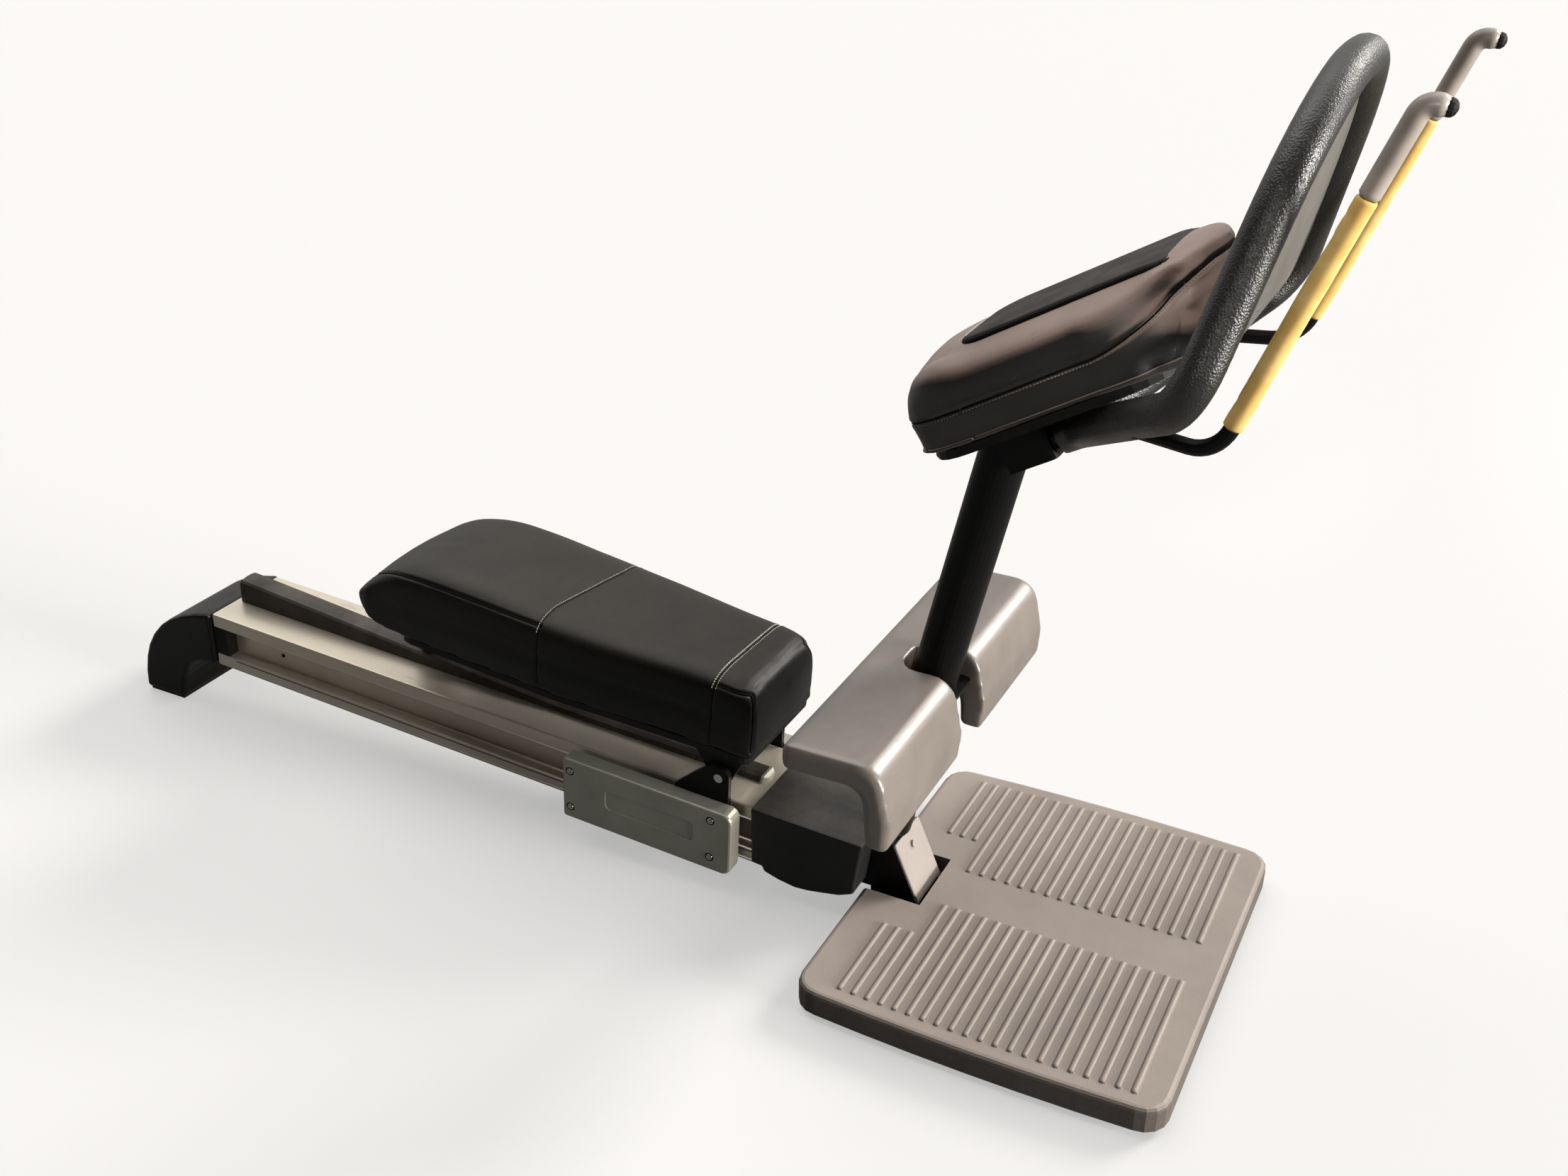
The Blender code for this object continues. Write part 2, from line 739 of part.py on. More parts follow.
def base_profile():
    """Side outline of the base frame, which stands in the footplate's recess."""
    rear_top = rail_point(RAIL_FRONT + SEAT_GAP, -BASE_REAR_DROP)
    rear_low = rail_point(RAIL_FRONT + SEAT_GAP, -RAIL_HEIGHT)
    run = PEDESTAL_FOOT_X - PEDESTAL_TOP_X
    rise = BASE_TOP - PEDESTAL_FOOT_Z
    back = (PEDESTAL_PLATE + SEAT_GAP) * math.hypot(run, rise) / rise
    bottom = RECESS_FLOOR + SEAT_GAP
    foot_x = PEDESTAL_FOOT_X + run / rise * (PEDESTAL_FOOT_Z - bottom) - back
    return [rear_low, (BASE_STEP_X, rear_low[1]), (BASE_STEP_X, bottom), (foot_x, bottom),
            (PEDESTAL_TOP_X - back, BASE_TOP), (rear_top[0], min(rear_top[1], BASE_TOP))]


def make_base(root):
    finish("base_frame", prism(base_profile(), -BASE_HALF, BASE_HALF), satin_black(), root)
    run = PEDESTAL_FOOT_X - PEDESTAL_TOP_X
    rise = BASE_TOP - PEDESTAL_FOOT_Z
    long = math.hypot(run, rise)
    back_x = PEDESTAL_PLATE * rise / long
    back_z = PEDESTAL_PLATE * run / long
    outline = [(PEDESTAL_FOOT_X, PEDESTAL_FOOT_Z), (PEDESTAL_TOP_X, BASE_TOP),
               (PEDESTAL_TOP_X - back_x, BASE_TOP - back_z),
               (PEDESTAL_FOOT_X - back_x, PEDESTAL_FOOT_Z - back_z)]
    face = prism(outline, -PEDESTAL_PLATE_HALF, PEDESTAL_PLATE_HALF)
    plate = finish("pedestal_plate", face, aluminium(), root)
    bevel(plate, FINE_EDGE, 1)
    centre_x = PEDESTAL_TOP_X + PEDESTAL_BOLT_SHARE * run
    centre_z = BASE_TOP - PEDESTAL_BOLT_SHARE * rise
    out = Vector((rise, 0.0, run)).normalized()
    start = Vector((centre_x, 0.0, centre_z)) + out * SEAT_GAP
    bolt = tube([start, start + out * PEDESTAL_BOLT_HIGH], PEDESTAL_BOLT_R, 12)
    finish("pedestal_bolt", bolt, satin_black(), root, smooth=40)


def make_housing(root):
    """The cover is hollow: open at the rear for the rail and below for the base frame."""
    cover = finish("front_housing", prism(HOUSING_OUTLINE, -HOUSING_HALF, HOUSING_HALF), satin_black(), root,
                   smooth=40)
    bevel(cover, HOUSING_ROUND, 2, 40)
    inner = HOUSING_HALF - HOUSING_SIDE_WALL
    rear_x, rear_top = HOUSING_OUTLINE[0]
    front_x, front_top = HOUSING_OUTLINE[1]
    slope = (front_top - rear_top) / (front_x - rear_x)
    wall = rear_top - rail_point(rear_x, 0.0)[1] - SEAT_GAP
    start = rear_x - CUT_PAST
    stop = front_x - HOUSING_FRONT_WALL
    top_at_start = rear_top - slope * CUT_PAST - wall
    top_at_stop = front_top - slope * HOUSING_FRONT_WALL - wall
    lean = HOUSING_OUTLINE[1][0] - HOUSING_OUTLINE[2][0]
    hollow = prism([(start, top_at_start), (stop, top_at_stop), (stop - lean, -CUT_PAST), (start, -CUT_PAST)],
                   -inner, inner)
    boolean(cover, finish("housing_hollow", hollow, satin_black(), root))
    side = BASE_HALF + RUN_GAP
    doorway = box((DOORWAY_REAR, -side, -CUT_PAST), (PEDESTAL_TOP_X, side, BASE_TOP + 2.0 * RUN_GAP))
    boolean(cover, finish("housing_doorway", doorway, satin_black(), root))
    bore = COLUMN_RADIUS + RUN_GAP
    notch_low = BASE_TOP - CUT_PAST
    notch_top = rear_top + CUT_PAST
    boolean(cover, column_rod("housing_notch", bore, notch_low, notch_top, root))
    front_cut = box((column_x(front_top), -bore, notch_low), (PEDESTAL_FOOT_X, bore, notch_top))
    boolean(cover, finish("housing_front_cut", front_cut, satin_black(), root))


def footplate_outline(inset=0.0):
    """Plan outline: straight ends, gently bowed sides and round corners."""
    rear = inset
    front = PLATE_LENGTH - inset
    half = PLATE_HALF_WIDTH - inset
    corner = PLATE_CORNER - inset
    middle = PLATE_LENGTH / 2.0
    reach = middle - PLATE_CORNER

    def bow(x):
        return half + PLATE_SIDE_BOW * (1.0 - ((x - middle) / reach) ** 2)

    points = []
    for sign in (1, -1):
        side_run = [middle + sign * reach * (1.0 - 2.0 * step / 6.0) for step in range(7)]
        far_x = front if sign > 0 else rear
        for step in range(4):
            turn = math.pi / 2.0 * step / 4.0
            x = far_x - sign * corner * (1.0 - math.cos(turn))
            y = sign * (half - corner + corner * math.sin(turn))
            points.append((x, y))
        points.extend((x, sign * bow(x)) for x in side_run)
        near_x = rear if sign > 0 else front
        for step in range(1, 5):
            turn = math.pi / 2.0 * step / 4.0
            x = near_x + sign * corner * (1.0 - math.sin(turn))
            y = sign * (half - corner + corner * math.cos(turn))
            points.append((x, y))
    return points


def rib(bm, x, inner, outer, sign):
    """One tread rib: a low bar with sloping sides, sunk a little into the plate."""
    low = RIB_WIDTH / 2.0
    high = low - RIB_SLOPE
    ends = sorted((sign * inner, sign * outer))
    slope = RIB_SLOPE
    base = [(x - low, ends[0]), (x + low, ends[0]), (x + low, ends[1]), (x - low, ends[1])]
    crest = [(x - high, ends[0] + slope), (x + high, ends[0] + slope), (x + high, ends[1] - slope),
             (x - high, ends[1] - slope)]
    rings = [[(a, b, PLATE_TOP - RIB_SUNK) for a, b in base], [(a, b, PLATE_TOP) for a, b in base],
             [(a, b, PLATE_TOP + RIB_HEIGHT) for a, b in crest]]
    loft(bm, rings)


def make_footplate(root):
    bottom = PLATE_TOP - PLATE_SKIRT
    bm = bmesh.new()
    levels = [(bottom, 0.0)]
    for step in range(4):
        turn = math.pi / 2.0 * step / 3.0
        levels.append((PLATE_TOP - PLATE_EDGE_ROUND * (1.0 - math.sin(turn)),
                       PLATE_EDGE_ROUND * (1.0 - math.cos(turn))))
    loft(bm, [[(x, y, level) for x, y in footplate_outline(inset)] for level, inset in levels])
    plate = finish("footplate", bm, grey_plastic(), root, smooth=35)

    recess = box((-CUT_PAST, -RECESS_HALF_WIDTH, RECESS_FLOOR),
                 (RECESS_LENGTH, RECESS_HALF_WIDTH, PLATE_TOP + CUT_PAST))
    boolean(plate, finish("footplate_recess", recess, grey_plastic(), root))
    for side, word in ((-1, "right"), (1, "left")):
        ends = sorted((side * POCKET_INNER, side * (PLATE_HALF_WIDTH - POCKET_MARGIN)))
        pocket = box((POCKET_MARGIN, ends[0], bottom - CUT_PAST),
                     (PLATE_LENGTH - POCKET_MARGIN, ends[1], PLATE_TOP - PLATE_SKIN))
        boolean(plate, finish("footplate_pocket_" + word, pocket, grey_plastic(), root))

    tread = bmesh.new()
    ribs = int((PLATE_LENGTH - RIB_FRONT_MARGIN - RIB_FIRST) / RIB_PITCH) + 1
    middle = RIB_FIRST + RIB_PITCH * (ribs - 1) / 2.0
    for index in range(ribs):
        x = RIB_FIRST + RIB_PITCH * index
        inner = RIB_INNER_WIDE if index < RIBS_BESIDE_RECESS else RIB_INNER
        outer = RIB_OUTER + RIB_OUTER_BOW * (1.0 - ((x - middle) / (PLATE_LENGTH / 2.0)) ** 2)
        for sign in (-1, 1):
            rib(tread, x, inner, outer, sign)
    boolean(plate, finish("footplate_tread", tread, grey_plastic(), root), "UNION")

    foot_height = bottom - SEAT_GAP
    number = 1
    for x in (FOOT_INSET, PLATE_LENGTH - FOOT_INSET):
        for side in (-1, 1):
            path = [Vector((0.0, 0.0, level)) for level in (0.0, FINE_EDGE, foot_height)]
            bm = bmesh.new()
            loft(bm, tube_rings(path, FOOT_RADIUS - FINE_EDGE, 16)[:1] + tube_rings(path, FOOT_RADIUS, 16)[1:])
            finish("footplate_foot_%d" % number, bm, black_rubber(), root,
                   location=(x, side * (PLATE_HALF_WIDTH - FOOT_INSET), 0.0), smooth=40)
            number += 1


# Column and pads

def make_column(root):
    """A leaning tube, cut level at its foot and parallel to the chest board at its head."""
    head_level = CHEST_BOARD_BOTTOM - SEAT_GAP - HEAD_PLATE - SEAT_GAP
    foot_level = BASE_TOP + SEAT_GAP
    bm = bmesh.new()
    outside = loft(bm, column_rings(COLUMN_RADIUS, foot_level, head_level), close=False)
    inside = loft(bm, column_rings(COLUMN_RADIUS - COLUMN_WALL, foot_level, head_level), close=False)
    for end in (0, 1):
        for index in range(COLUMN_SIDES):
            after = (index + 1) % COLUMN_SIDES
            bm.faces.new((outside[end][index], outside[end][after], inside[end][after], inside[end][index]))
    finish("column", bm, satin_black(), root, smooth=40)


def make_shin_pad(root):
    outline = rounded_outline(SHIN_CORNERS, steps=4)
    count = len(outline)
    rings = []
    for side in (-1, 1):
        ends = []
        for step in range(3):
            turn = math.pi / 2.0 * step / 2.0
            y = side * (SHIN_HALF - SHIN_ROUND * (1.0 - math.cos(turn)))
            inset = SHIN_ROUND * (1.0 - math.sin(turn))
            ring = []
            for index, (x, z) in enumerate(outline):
                along = Vector(outline[(index + 1) % count]) - Vector(outline[index - 1])
                spot = Vector((x, z)) + Vector((along.y, -along.x)).normalized() * inset
                ring.append((spot.x, y, spot.y))
            ends.append(ring)
        rings.extend(ends if side < 0 else reversed(ends))
    bm = bmesh.new()
    loft(bm, rings)
    pad = finish("shin_pad", bm, grey_foam(), root, smooth=40)
    half_column = COLUMN_RADIUS / math.cos(COLUMN_LEAN)
    rear = column_x(SHIN_UNDER) - half_column - SHIN_SLOT_GAP
    lowest = min(z for _, z, _ in SHIN_CORNERS) - CUT_PAST
    highest = max(z for _, z, _ in SHIN_CORNERS) + CUT_PAST
    front = max(x for x, _, _ in SHIN_CORNERS) + CUT_PAST
    slot = rounded_outline([(rear, -SHIN_SLOT_HALF, SHIN_SLOT_CORNER), (front, -SHIN_SLOT_HALF, 0.0),
                            (front, SHIN_SLOT_HALF, 0.0), (rear, SHIN_SLOT_HALF, SHIN_SLOT_CORNER)], steps=5)
    boolean(pad, finish("shin_slot", prism(slot, lowest, highest, axis="Z"), grey_foam(), root))

    top = SHIN_UNDER - SEAT_GAP
    ring = SHIN_SLOT_HALF - RUN_GAP
    front = column_x(top) + half_column + SHIN_BRACKET_RIM
    shoulder = SHIN_BRACKET_SHOULDER
    wing = SHIN_BRACKET_HALF
    corner = SHIN_BRACKET_CORNER
    plan = rounded_outline([(0.0, -wing, corner), (shoulder, -wing, corner), (shoulder, -ring, 0.0),
                            (front, -ring, corner), (front, ring, corner), (shoulder, ring, 0.0),
                            (shoulder, wing, corner), (0.0, wing, corner)], steps=3)
    bracket = finish("shin_bracket", prism(plan, top - SHIN_BRACKET_THICK, top, axis="Z"), bright_steel(), root)
    boolean(bracket, column_rod("shin_bracket_hole", COLUMN_RADIUS + SEAT_GAP, top - 2.0 * CUT_PAST,
                                top + CUT_PAST, root))


def cushion_ring(half, low, high, shoulder, crown, draw_in, seam):
    """One cross-section of a cushion: flat underside, drawn-in sides, round shoulders, crowned top."""
    belly = (half - draw_in / 3.0, (low + seam) / 2.0)
    right = [(half - draw_in, low), belly, (half, seam)]
    rise = high - crown - seam
    for step in range(1, 5):
        turn = math.pi / 2.0 * step / 4.0
        right.append((half - shoulder * (1.0 - math.cos(turn)), seam + rise * math.sin(turn)))
    flat = half - shoulder
    crest = [(flat * share, high - crown * share * share) for share in (0.5, 0.0, -0.5)]
    return right + crest + [(-y, z) for y, z in reversed(right)]


def chest_half_width(s):
    """Half width of the chest pad, rounded in at both ends."""
    pull = CHEST_REAR_PULL * roll_over(s - CHEST_REAR, CHEST_END_ROUND)
    pull += CHEST_FRONT_PULL * roll_over(CHEST_FRONT - s, CHEST_FRONT_ROUND)
    return CHEST_HALF - pull


def chest_rings():
    rings = []
    low = CHEST_BOARD_BOTTOM + CHEST_BOARD_THICK + SEAT_GAP
    length = CHEST_FRONT - CHEST_REAR
    for share in CHEST_STATIONS:
        s = CHEST_REAR + length * share
        drop = CHEST_REAR_DROP * roll_over(s - CHEST_REAR, CHEST_REAR_ROLL)
        drop += (CHEST_TOP - CHEST_FRONT_SEAM) * roll_over(CHEST_FRONT - s, CHEST_FRONT_ROLL)
        high = CHEST_TOP - drop
        seam = low + CHEST_SEAM - drop / 5.0
        ring = cushion_ring(chest_half_width(s), low, high, CHEST_SHOULDER, CHEST_CROWN, CHEST_DRAW_IN, seam)
        lean = CHEST_FRONT_LEAN * max(0.0, 1.0 - (CHEST_FRONT - s) / CHEST_LEAN_REACH)
        depth = CHEST_FRONT_SEAM - low
        rings.append([(s - lean * max(0.0, CHEST_FRONT_SEAM - n) / depth, y, n) for y, n in ring])
    return rings


def inlay_outline(grow):
    rear = INLAY_REAR - grow
    front = INLAY_FRONT + grow
    half = INLAY_HALF + grow
    corner = INLAY_CORNER + grow
    return rounded_outline([(rear, -half, corner), (front, -half, corner), (front, half, corner),
                            (rear, half, corner)], steps=6)


def chest_crown_at(y):
    flat = CHEST_HALF - CHEST_SHOULDER
    return CHEST_TOP - CHEST_CROWN * (y / flat) ** 2


def make_chest(chest_frame):
    low = CHEST_BOARD_BOTTOM
    high = low + CHEST_BOARD_THICK
    rear = CHEST_REAR + BOARD_INSET
    front = CHEST_FRONT - CHEST_FRONT_LEAN - BOARD_INSET
    half = CHEST_HALF - BOARD_INSET
    outline = rounded_outline([(rear, -half, BOARD_CORNER), (front, -half, BOARD_CORNER),
                               (front, half, BOARD_CORNER), (rear, half, BOARD_CORNER)], steps=6)
    finish("chest_board", prism(outline, low, high, axis="Z"), board_black(), chest_frame, smooth=40)

    bm = bmesh.new()
    loft(bm, chest_rings())
    pad = finish("chest_pad", bm, black_leather(), chest_frame, smooth=60)
    pocket = prism(inlay_outline(INLAY_GROOVE), INLAY_FLOOR, CHEST_TOP + CUT_PAST, axis="Z")
    boolean(pad, finish("chest_pocket", pocket, black_leather(), chest_frame))

    centre_s = (INLAY_REAR + INLAY_FRONT) / 2.0
    edge = inlay_outline(0.0)
    rings = [[(x, y, INLAY_FLOOR + SEAT_GAP) for x, y in edge]]
    rings.append([(x, y, chest_crown_at(y) - INLAY_EDGE_DOWN) for x, y in edge])
    for shrink in (1.0, 0.6, 0.2):
        ring = []
        for x, y in inlay_outline(-INLAY_EDGE_IN):
            inner_s = centre_s + (x - centre_s) * shrink
            ring.append((inner_s, y * shrink, chest_crown_at(y * shrink) + INLAY_PROUD))
        rings.append(ring)
    bm = bmesh.new()
    loft(bm, rings)
    finish("chest_inlay", bm, black_leather(), chest_frame, smooth=40)


def make_column_head(root, chest_frame):
    """A plate under the chest board with a block below it, bored for the top of the column."""
    top = CHEST_BOARD_BOTTOM - SEAT_GAP
    under = top - HEAD_PLATE
    outline = rounded_outline([(HEAD_REAR, -HEAD_HALF, HEAD_CORNER), (HEAD_FRONT, -HEAD_HALF, HEAD_CORNER),
                               (HEAD_FRONT, HEAD_HALF, HEAD_CORNER), (HEAD_REAR, HEAD_HALF, HEAD_CORNER)],
                              steps=3)
    head = finish("column_head", prism(outline, under, top, axis="Z"), satin_black(), chest_frame)
    hub_outline = rounded_outline([(HUB_REAR, -HUB_HALF, 0.0), (HUB_FRONT, -HUB_HALF, HUB_CORNER),
                                   (HUB_FRONT, HUB_HALF, HUB_CORNER), (HUB_REAR, HUB_HALF, 0.0)], steps=2)
    hub = prism(hub_outline, HUB_BOTTOM, under + HEAD_PLATE / 2.0, axis="Z")
    boolean(head, finish("column_head_hub", hub, satin_black(), chest_frame), "UNION")
    bottom = chest_point(HUB_REAR, 0.0, HUB_BOTTOM).z - CUT_PAST
    bore = bmesh.new()
    loft(bore, column_rings(COLUMN_RADIUS + SEAT_GAP, bottom, under))
    boolean(head, finish("column_head_bore", bore, satin_black(), root))


# Loop and handlebars

def loop_half(start_s):
    """Corners of the right half of the loop, from the hub to the top."""
    return [
        (chest_point(start_s, -LOOP_START_Y, LOOP_LEVEL), 0.0, 0),
        (chest_point(HUB_FRONT + LOOP_START_RUN, -LOOP_START_Y, LOOP_LEVEL), LOOP_START_BEND, 4),
        (Vector((LOOP_KNEE[0], -LOOP_KNEE[1], LOOP_KNEE[2])), LOOP_KNEE_BEND, 8),
        (Vector((LOOP_TOP[0], -LOOP_TOP[1], LOOP_TOP[2])), LOOP_TOP_BEND, 12),
    ]


def loop_path(start_s):
    half = loop_half(start_s)
    other = [(Vector((point.x, -point.y, point.z)), radius, steps) for point, radius, steps in reversed(half)]
    return rounded_path(half + other)


def make_loop(root):
    steel = loop_path(HUB_FRONT + SEAT_GAP)
    foam = loop_path(HUB_FRONT + LOOP_FOAM_START)
    finish("loop_tube", tube(steel, LOOP_TUBE_R, 10), satin_black(), root, smooth=50)
    sleeve = tube(foam, LOOP_FOAM_R, 14, bore=LOOP_TUBE_R + LOOP_BORE_GAP)
    return finish("loop_foam", sleeve, black_foam(), root, smooth=50)


def make_panel(root):
    """The panel lies in the plane of the loop's legs and ends a clearance short of the foam."""
    knee = Vector(LOOP_KNEE)
    top = Vector(LOOP_TOP)
    rise = math.hypot(top.x - knee.x, top.z - knee.z)
    inset = LOOP_FOAM_R + SEAT_GAP
    lean = math.atan2(top.x - knee.x, top.z - knee.z)
    along = (knee.y - top.y) / rise
    tight = inset * math.hypot(1.0, along)
    bottom = (PANEL_BOTTOM - knee.z) / math.cos(lean)
    low_half = knee.y - along * bottom - tight
    high = rise - inset
    high_half = knee.y - along * high - tight
    corner = LOOP_TOP_BEND - inset
    outline = rounded_outline([(bottom, -low_half, PANEL_LOW_CORNER), (high, -high_half, corner),
                               (high, high_half, corner), (bottom, low_half, PANEL_LOW_CORNER)], steps=10)
    half = PANEL_THICK / 2.0
    bm = prism(outline, -half, half, axis="Z")
    frame = Matrix((
        (math.sin(lean), 0.0, math.cos(lean), knee.x),
        (0.0, 1.0, 0.0, 0.0),
        (math.cos(lean), 0.0, -math.sin(lean), knee.z),
        (0.0, 0.0, 0.0, 1.0),
    ))
    bm.transform(frame)
    finish("loop_panel", bm, grey_plastic(), root, smooth=40)


def handle_line(along, side):
    """A point on a grip's straight axis, measured upwards from the grip's lower end."""
    x = GRIP_LOW_X + along * math.sin(HANDLE_LEAN)
    z = GRIP_LOW_Z + along * math.cos(HANDLE_LEAN)
    return Vector((x, side * HANDLE_Y, z))


def handle_root(side):
    return Vector((HANDLE_ROOT[0], side * HANDLE_ROOT[1], HANDLE_ROOT[2]))


def handle_path(side):
    """From the tip down through the grip and back to the leg of the loop."""
    top = handle_line(HANDLE_TOP_RISE, side)
    tip = top + Vector((HANDLE_TIP_REACH, 0.0, -HANDLE_TIP_FALL))
    knee = handle_line(-HANDLE_KNEE_DROP, side)
    return rounded_path([(tip, 0.0, 0), (top, HANDLE_TOP_BEND, 5), (knee, HANDLE_KNEE_BEND, 8),
                         (handle_root(side), 0.0, 0)])


def handle_cap(tip, out):
    """A small dome over the handle's open end."""
    begin = tip + out * SEAT_GAP
    rings = []
    for step in range(4):
        turn = HANDLE_CAP_CURVE * step / 3.0
        spot = begin + out * (HANDLE_CAP_LENGTH * math.sin(turn))
        rings.append(tube_rings([spot, spot + out], HANDLE_TUBE_R * math.cos(turn), 12)[0])
    bm = bmesh.new()
    loft(bm, rings)
    return bm


def make_handles(root, foam):
    """Each handle tube passes through the foam and ends against the steel tube of the loop."""
    bore = HANDLE_TUBE_R + HANDLE_BORE_GAP
    for side, word in ((-1, "right"), (1, "left")):
        path = handle_path(side)
        handle = finish("handle_tube_" + word, tube(path, HANDLE_TUBE_R, 12), satin_black(), root, smooth=50)
        leg = [Vector((point.x, side * abs(point.y), point.z)) for point, _, _ in loop_half(HUB_FRONT)[1:3]]
        cope = finish("handle_cope_" + word, tube(leg, LOOP_TUBE_R + SEAT_GAP, 24), satin_black(), root)
        boolean(handle, cope)
        inward = (path[-1] - path[-2]).normalized()
        hole = tube([path[-2], path[-1] + inward * SEAT_GAP], HANDLE_TUBE_R + SEAT_GAP, 20)
        boolean(foam, finish("loop_foam_hole_" + word, hole, black_foam(), root))

        grip = tube([handle_line(0.0, side), handle_line(GRIP_LENGTH, side)], HANDLE_GRIP_R, 16, bore=bore)
        finish("handle_grip_" + word, grip, mustard_grip(), root, smooth=50)
        start = GRIP_LENGTH + SEAT_GAP
        upper = [handle_line(start, side), handle_line(start + SLEEVE_LENGTH, side)]
        sleeve = tube(upper, HANDLE_SLEEVE_R, 16, bore=bore)
        finish("handle_sleeve_" + word, sleeve, black_foam(), root, smooth=50)
        cap = handle_cap(path[0], (path[0] - path[1]).normalized())
        finish("handle_cap_" + word, cap, black_rubber(), root, smooth=50)


# Carriage and seat

def carriage_plate(side, word, carriage):
    """A side casting, hollow on the rail side, with a bare sunk field on its outer face."""
    front = CARRIAGE_FRONT
    rear = CARRIAGE_REAR
    depth = -CARRIAGE_DEPTH
    wall = CARRIAGE_WALL
    ends = sorted((side * CARRIAGE_INNER, side * CARRIAGE_OUTER))
    outline = rounded_outline([(rear, 0.0, CARRIAGE_REAR_CORNER), (rear, depth, CARRIAGE_REAR_CORNER),
                               (front, depth, CARRIAGE_FRONT_CORNER), (front, 0.0, CARRIAGE_FRONT_CORNER)])
    plate = finish("carriage_plate_" + word, prism(outline, ends[0], ends[1]), aluminium(), carriage, smooth=40)
    bevel(plate, CARRIAGE_EDGE, 2, 50)
    hollow_ends = sorted((side * (CARRIAGE_INNER - CUT_PAST), side * (CARRIAGE_OUTER - wall)))
    hollow = box((rear + wall, hollow_ends[0], depth + wall),
                 (front - CARRIAGE_NOSE_WALL, hollow_ends[1], -wall))
    boolean(plate, finish("carriage_hollow_" + word, hollow, aluminium(), carriage))
    face_ends = sorted((side * (CARRIAGE_OUTER - BADGE_DEEP), side * (CARRIAGE_OUTER + CUT_PAST)))
    left = rear + BADGE_REAR_MARGIN
    right = front - BADGE_FRONT_MARGIN
    low = BADGE_TOP - BADGE_HEIGHT
    badge = rounded_outline([(left, BADGE_TOP, BADGE_CORNER), (right, BADGE_TOP, BADGE_CORNER),
                             (right, low, BADGE_CORNER), (left, low, BADGE_CORNER)], steps=3)
    field = prism(badge, face_ends[0], face_ends[1])
    boolean(plate, finish("carriage_recess_" + word, field, aluminium(), carriage))


def carriage_ear(side, word, carriage):
    """A black ear that stands up inside the casting and holds one end of the hinge pin."""
    pivot = to_rail(PIVOT_X, PIVOT_Z)
    outer = CARRIAGE_INNER - SEAT_GAP
    ends = sorted((side * outer, side * (outer - EAR_THICK)))
    corner = EAR_HEAD * 0.6
    outline = rounded_outline([(EAR_REAR, EAR_REAR_TOP, FINE_EDGE),
                               (pivot[0] - EAR_HEAD, pivot[1] + EAR_HEAD, corner),
                               (pivot[0] + EAR_HEAD, pivot[1] + EAR_HEAD, corner),
                               (pivot[0] + EAR_HEAD, EAR_BOTTOM, corner / 2.0),
                               (EAR_REAR, EAR_BOTTOM, corner / 2.0)], steps=3)
    ear = finish("carriage_ear_" + word, prism(outline, ends[0], ends[1]), satin_black(), carriage, smooth=40)
    drill(ear, "carriage_ear_hole_" + word, PIVOT_PIN_R + SEAT_GAP, carriage, (pivot[0], 0.0, pivot[1]))


def carriage_wheel(side, place, word, x, carriage):
    """A roller in the rail's side channel and the axle that carries it from the casting."""
    z = -RAIL_HEIGHT + RAIL_LEDGE + ROLLER_R + SEAT_GAP
    inner = RAIL_WEB_HALF + ROLLER_SIDE_GAP
    middle = side * (inner + ROLLER_WIDTH / 2.0)
    name = "%s_%s" % (place, word)
    make_roller("carriage_roller_" + name, ROLLER_R, ROLLER_WIDTH, ROLLER_RIM, carriage, (x, middle, z))
    shoulder = inner + ROLLER_WIDTH + ROLLER_SIDE_GAP / 2.0
    profile = [(side * inner, AXLE_R), (side * shoulder, AXLE_R), (side * shoulder, AXLE_R + AXLE_SHOULDER),
               (side * (CARRIAGE_OUTER - CARRIAGE_WALL - SEAT_GAP), AXLE_R + AXLE_SHOULDER)]
    axle = turned(profile, 16, centre=(x, 0.0, z))
    finish("carriage_axle_" + name, axle, bright_steel(), carriage, smooth=40)


def make_carriage(carriage):
    for side, word in ((-1, "right"), (1, "left")):
        carriage_plate(side, word, carriage)
        carriage_ear(side, word, carriage)
        for place, x in zip(("front", "rear"), ROLLER_X):
            carriage_wheel(side, place, word, x, carriage)

    reach = CARRIAGE_INNER - SEAT_GAP
    cross = box((CARRIAGE_REAR + CROSS_PLATE_INSET, -reach, -CARRIAGE_DEPTH),
                (CARRIAGE_FRONT - CROSS_PLATE_INSET, reach, -CARRIAGE_DEPTH + CROSS_PLATE_THICK))
    finish("carriage_cross_plate", cross, satin_black(), carriage)

    pivot = to_rail(PIVOT_X, PIVOT_Z)
    pin = turned([(-reach, PIVOT_PIN_R), (reach, PIVOT_PIN_R)], 20, centre=(pivot[0], 0.0, pivot[1]))
    finish("pivot_pin", pin, bright_steel(), carriage, smooth=40)


def seat_half_width(x):
    """Half width of the seat: full at the rear, tapered to the front, rounded at both ends."""
    taper = eased((x - SEAT_TAPER_REAR) / (SEAT_TAPER_FRONT - SEAT_TAPER_REAR))
    half = SEAT_HALF_REAR + (SEAT_HALF_FRONT - SEAT_HALF_REAR) * taper
    half -= SEAT_REAR_PULL * roll_over(x - SEAT_NOSE, SEAT_REAR_ROUND)
    half -= SEAT_FRONT_PULL * roll_over(SEAT_FRONT - x, SEAT_FRONT_ROUND)
    return half


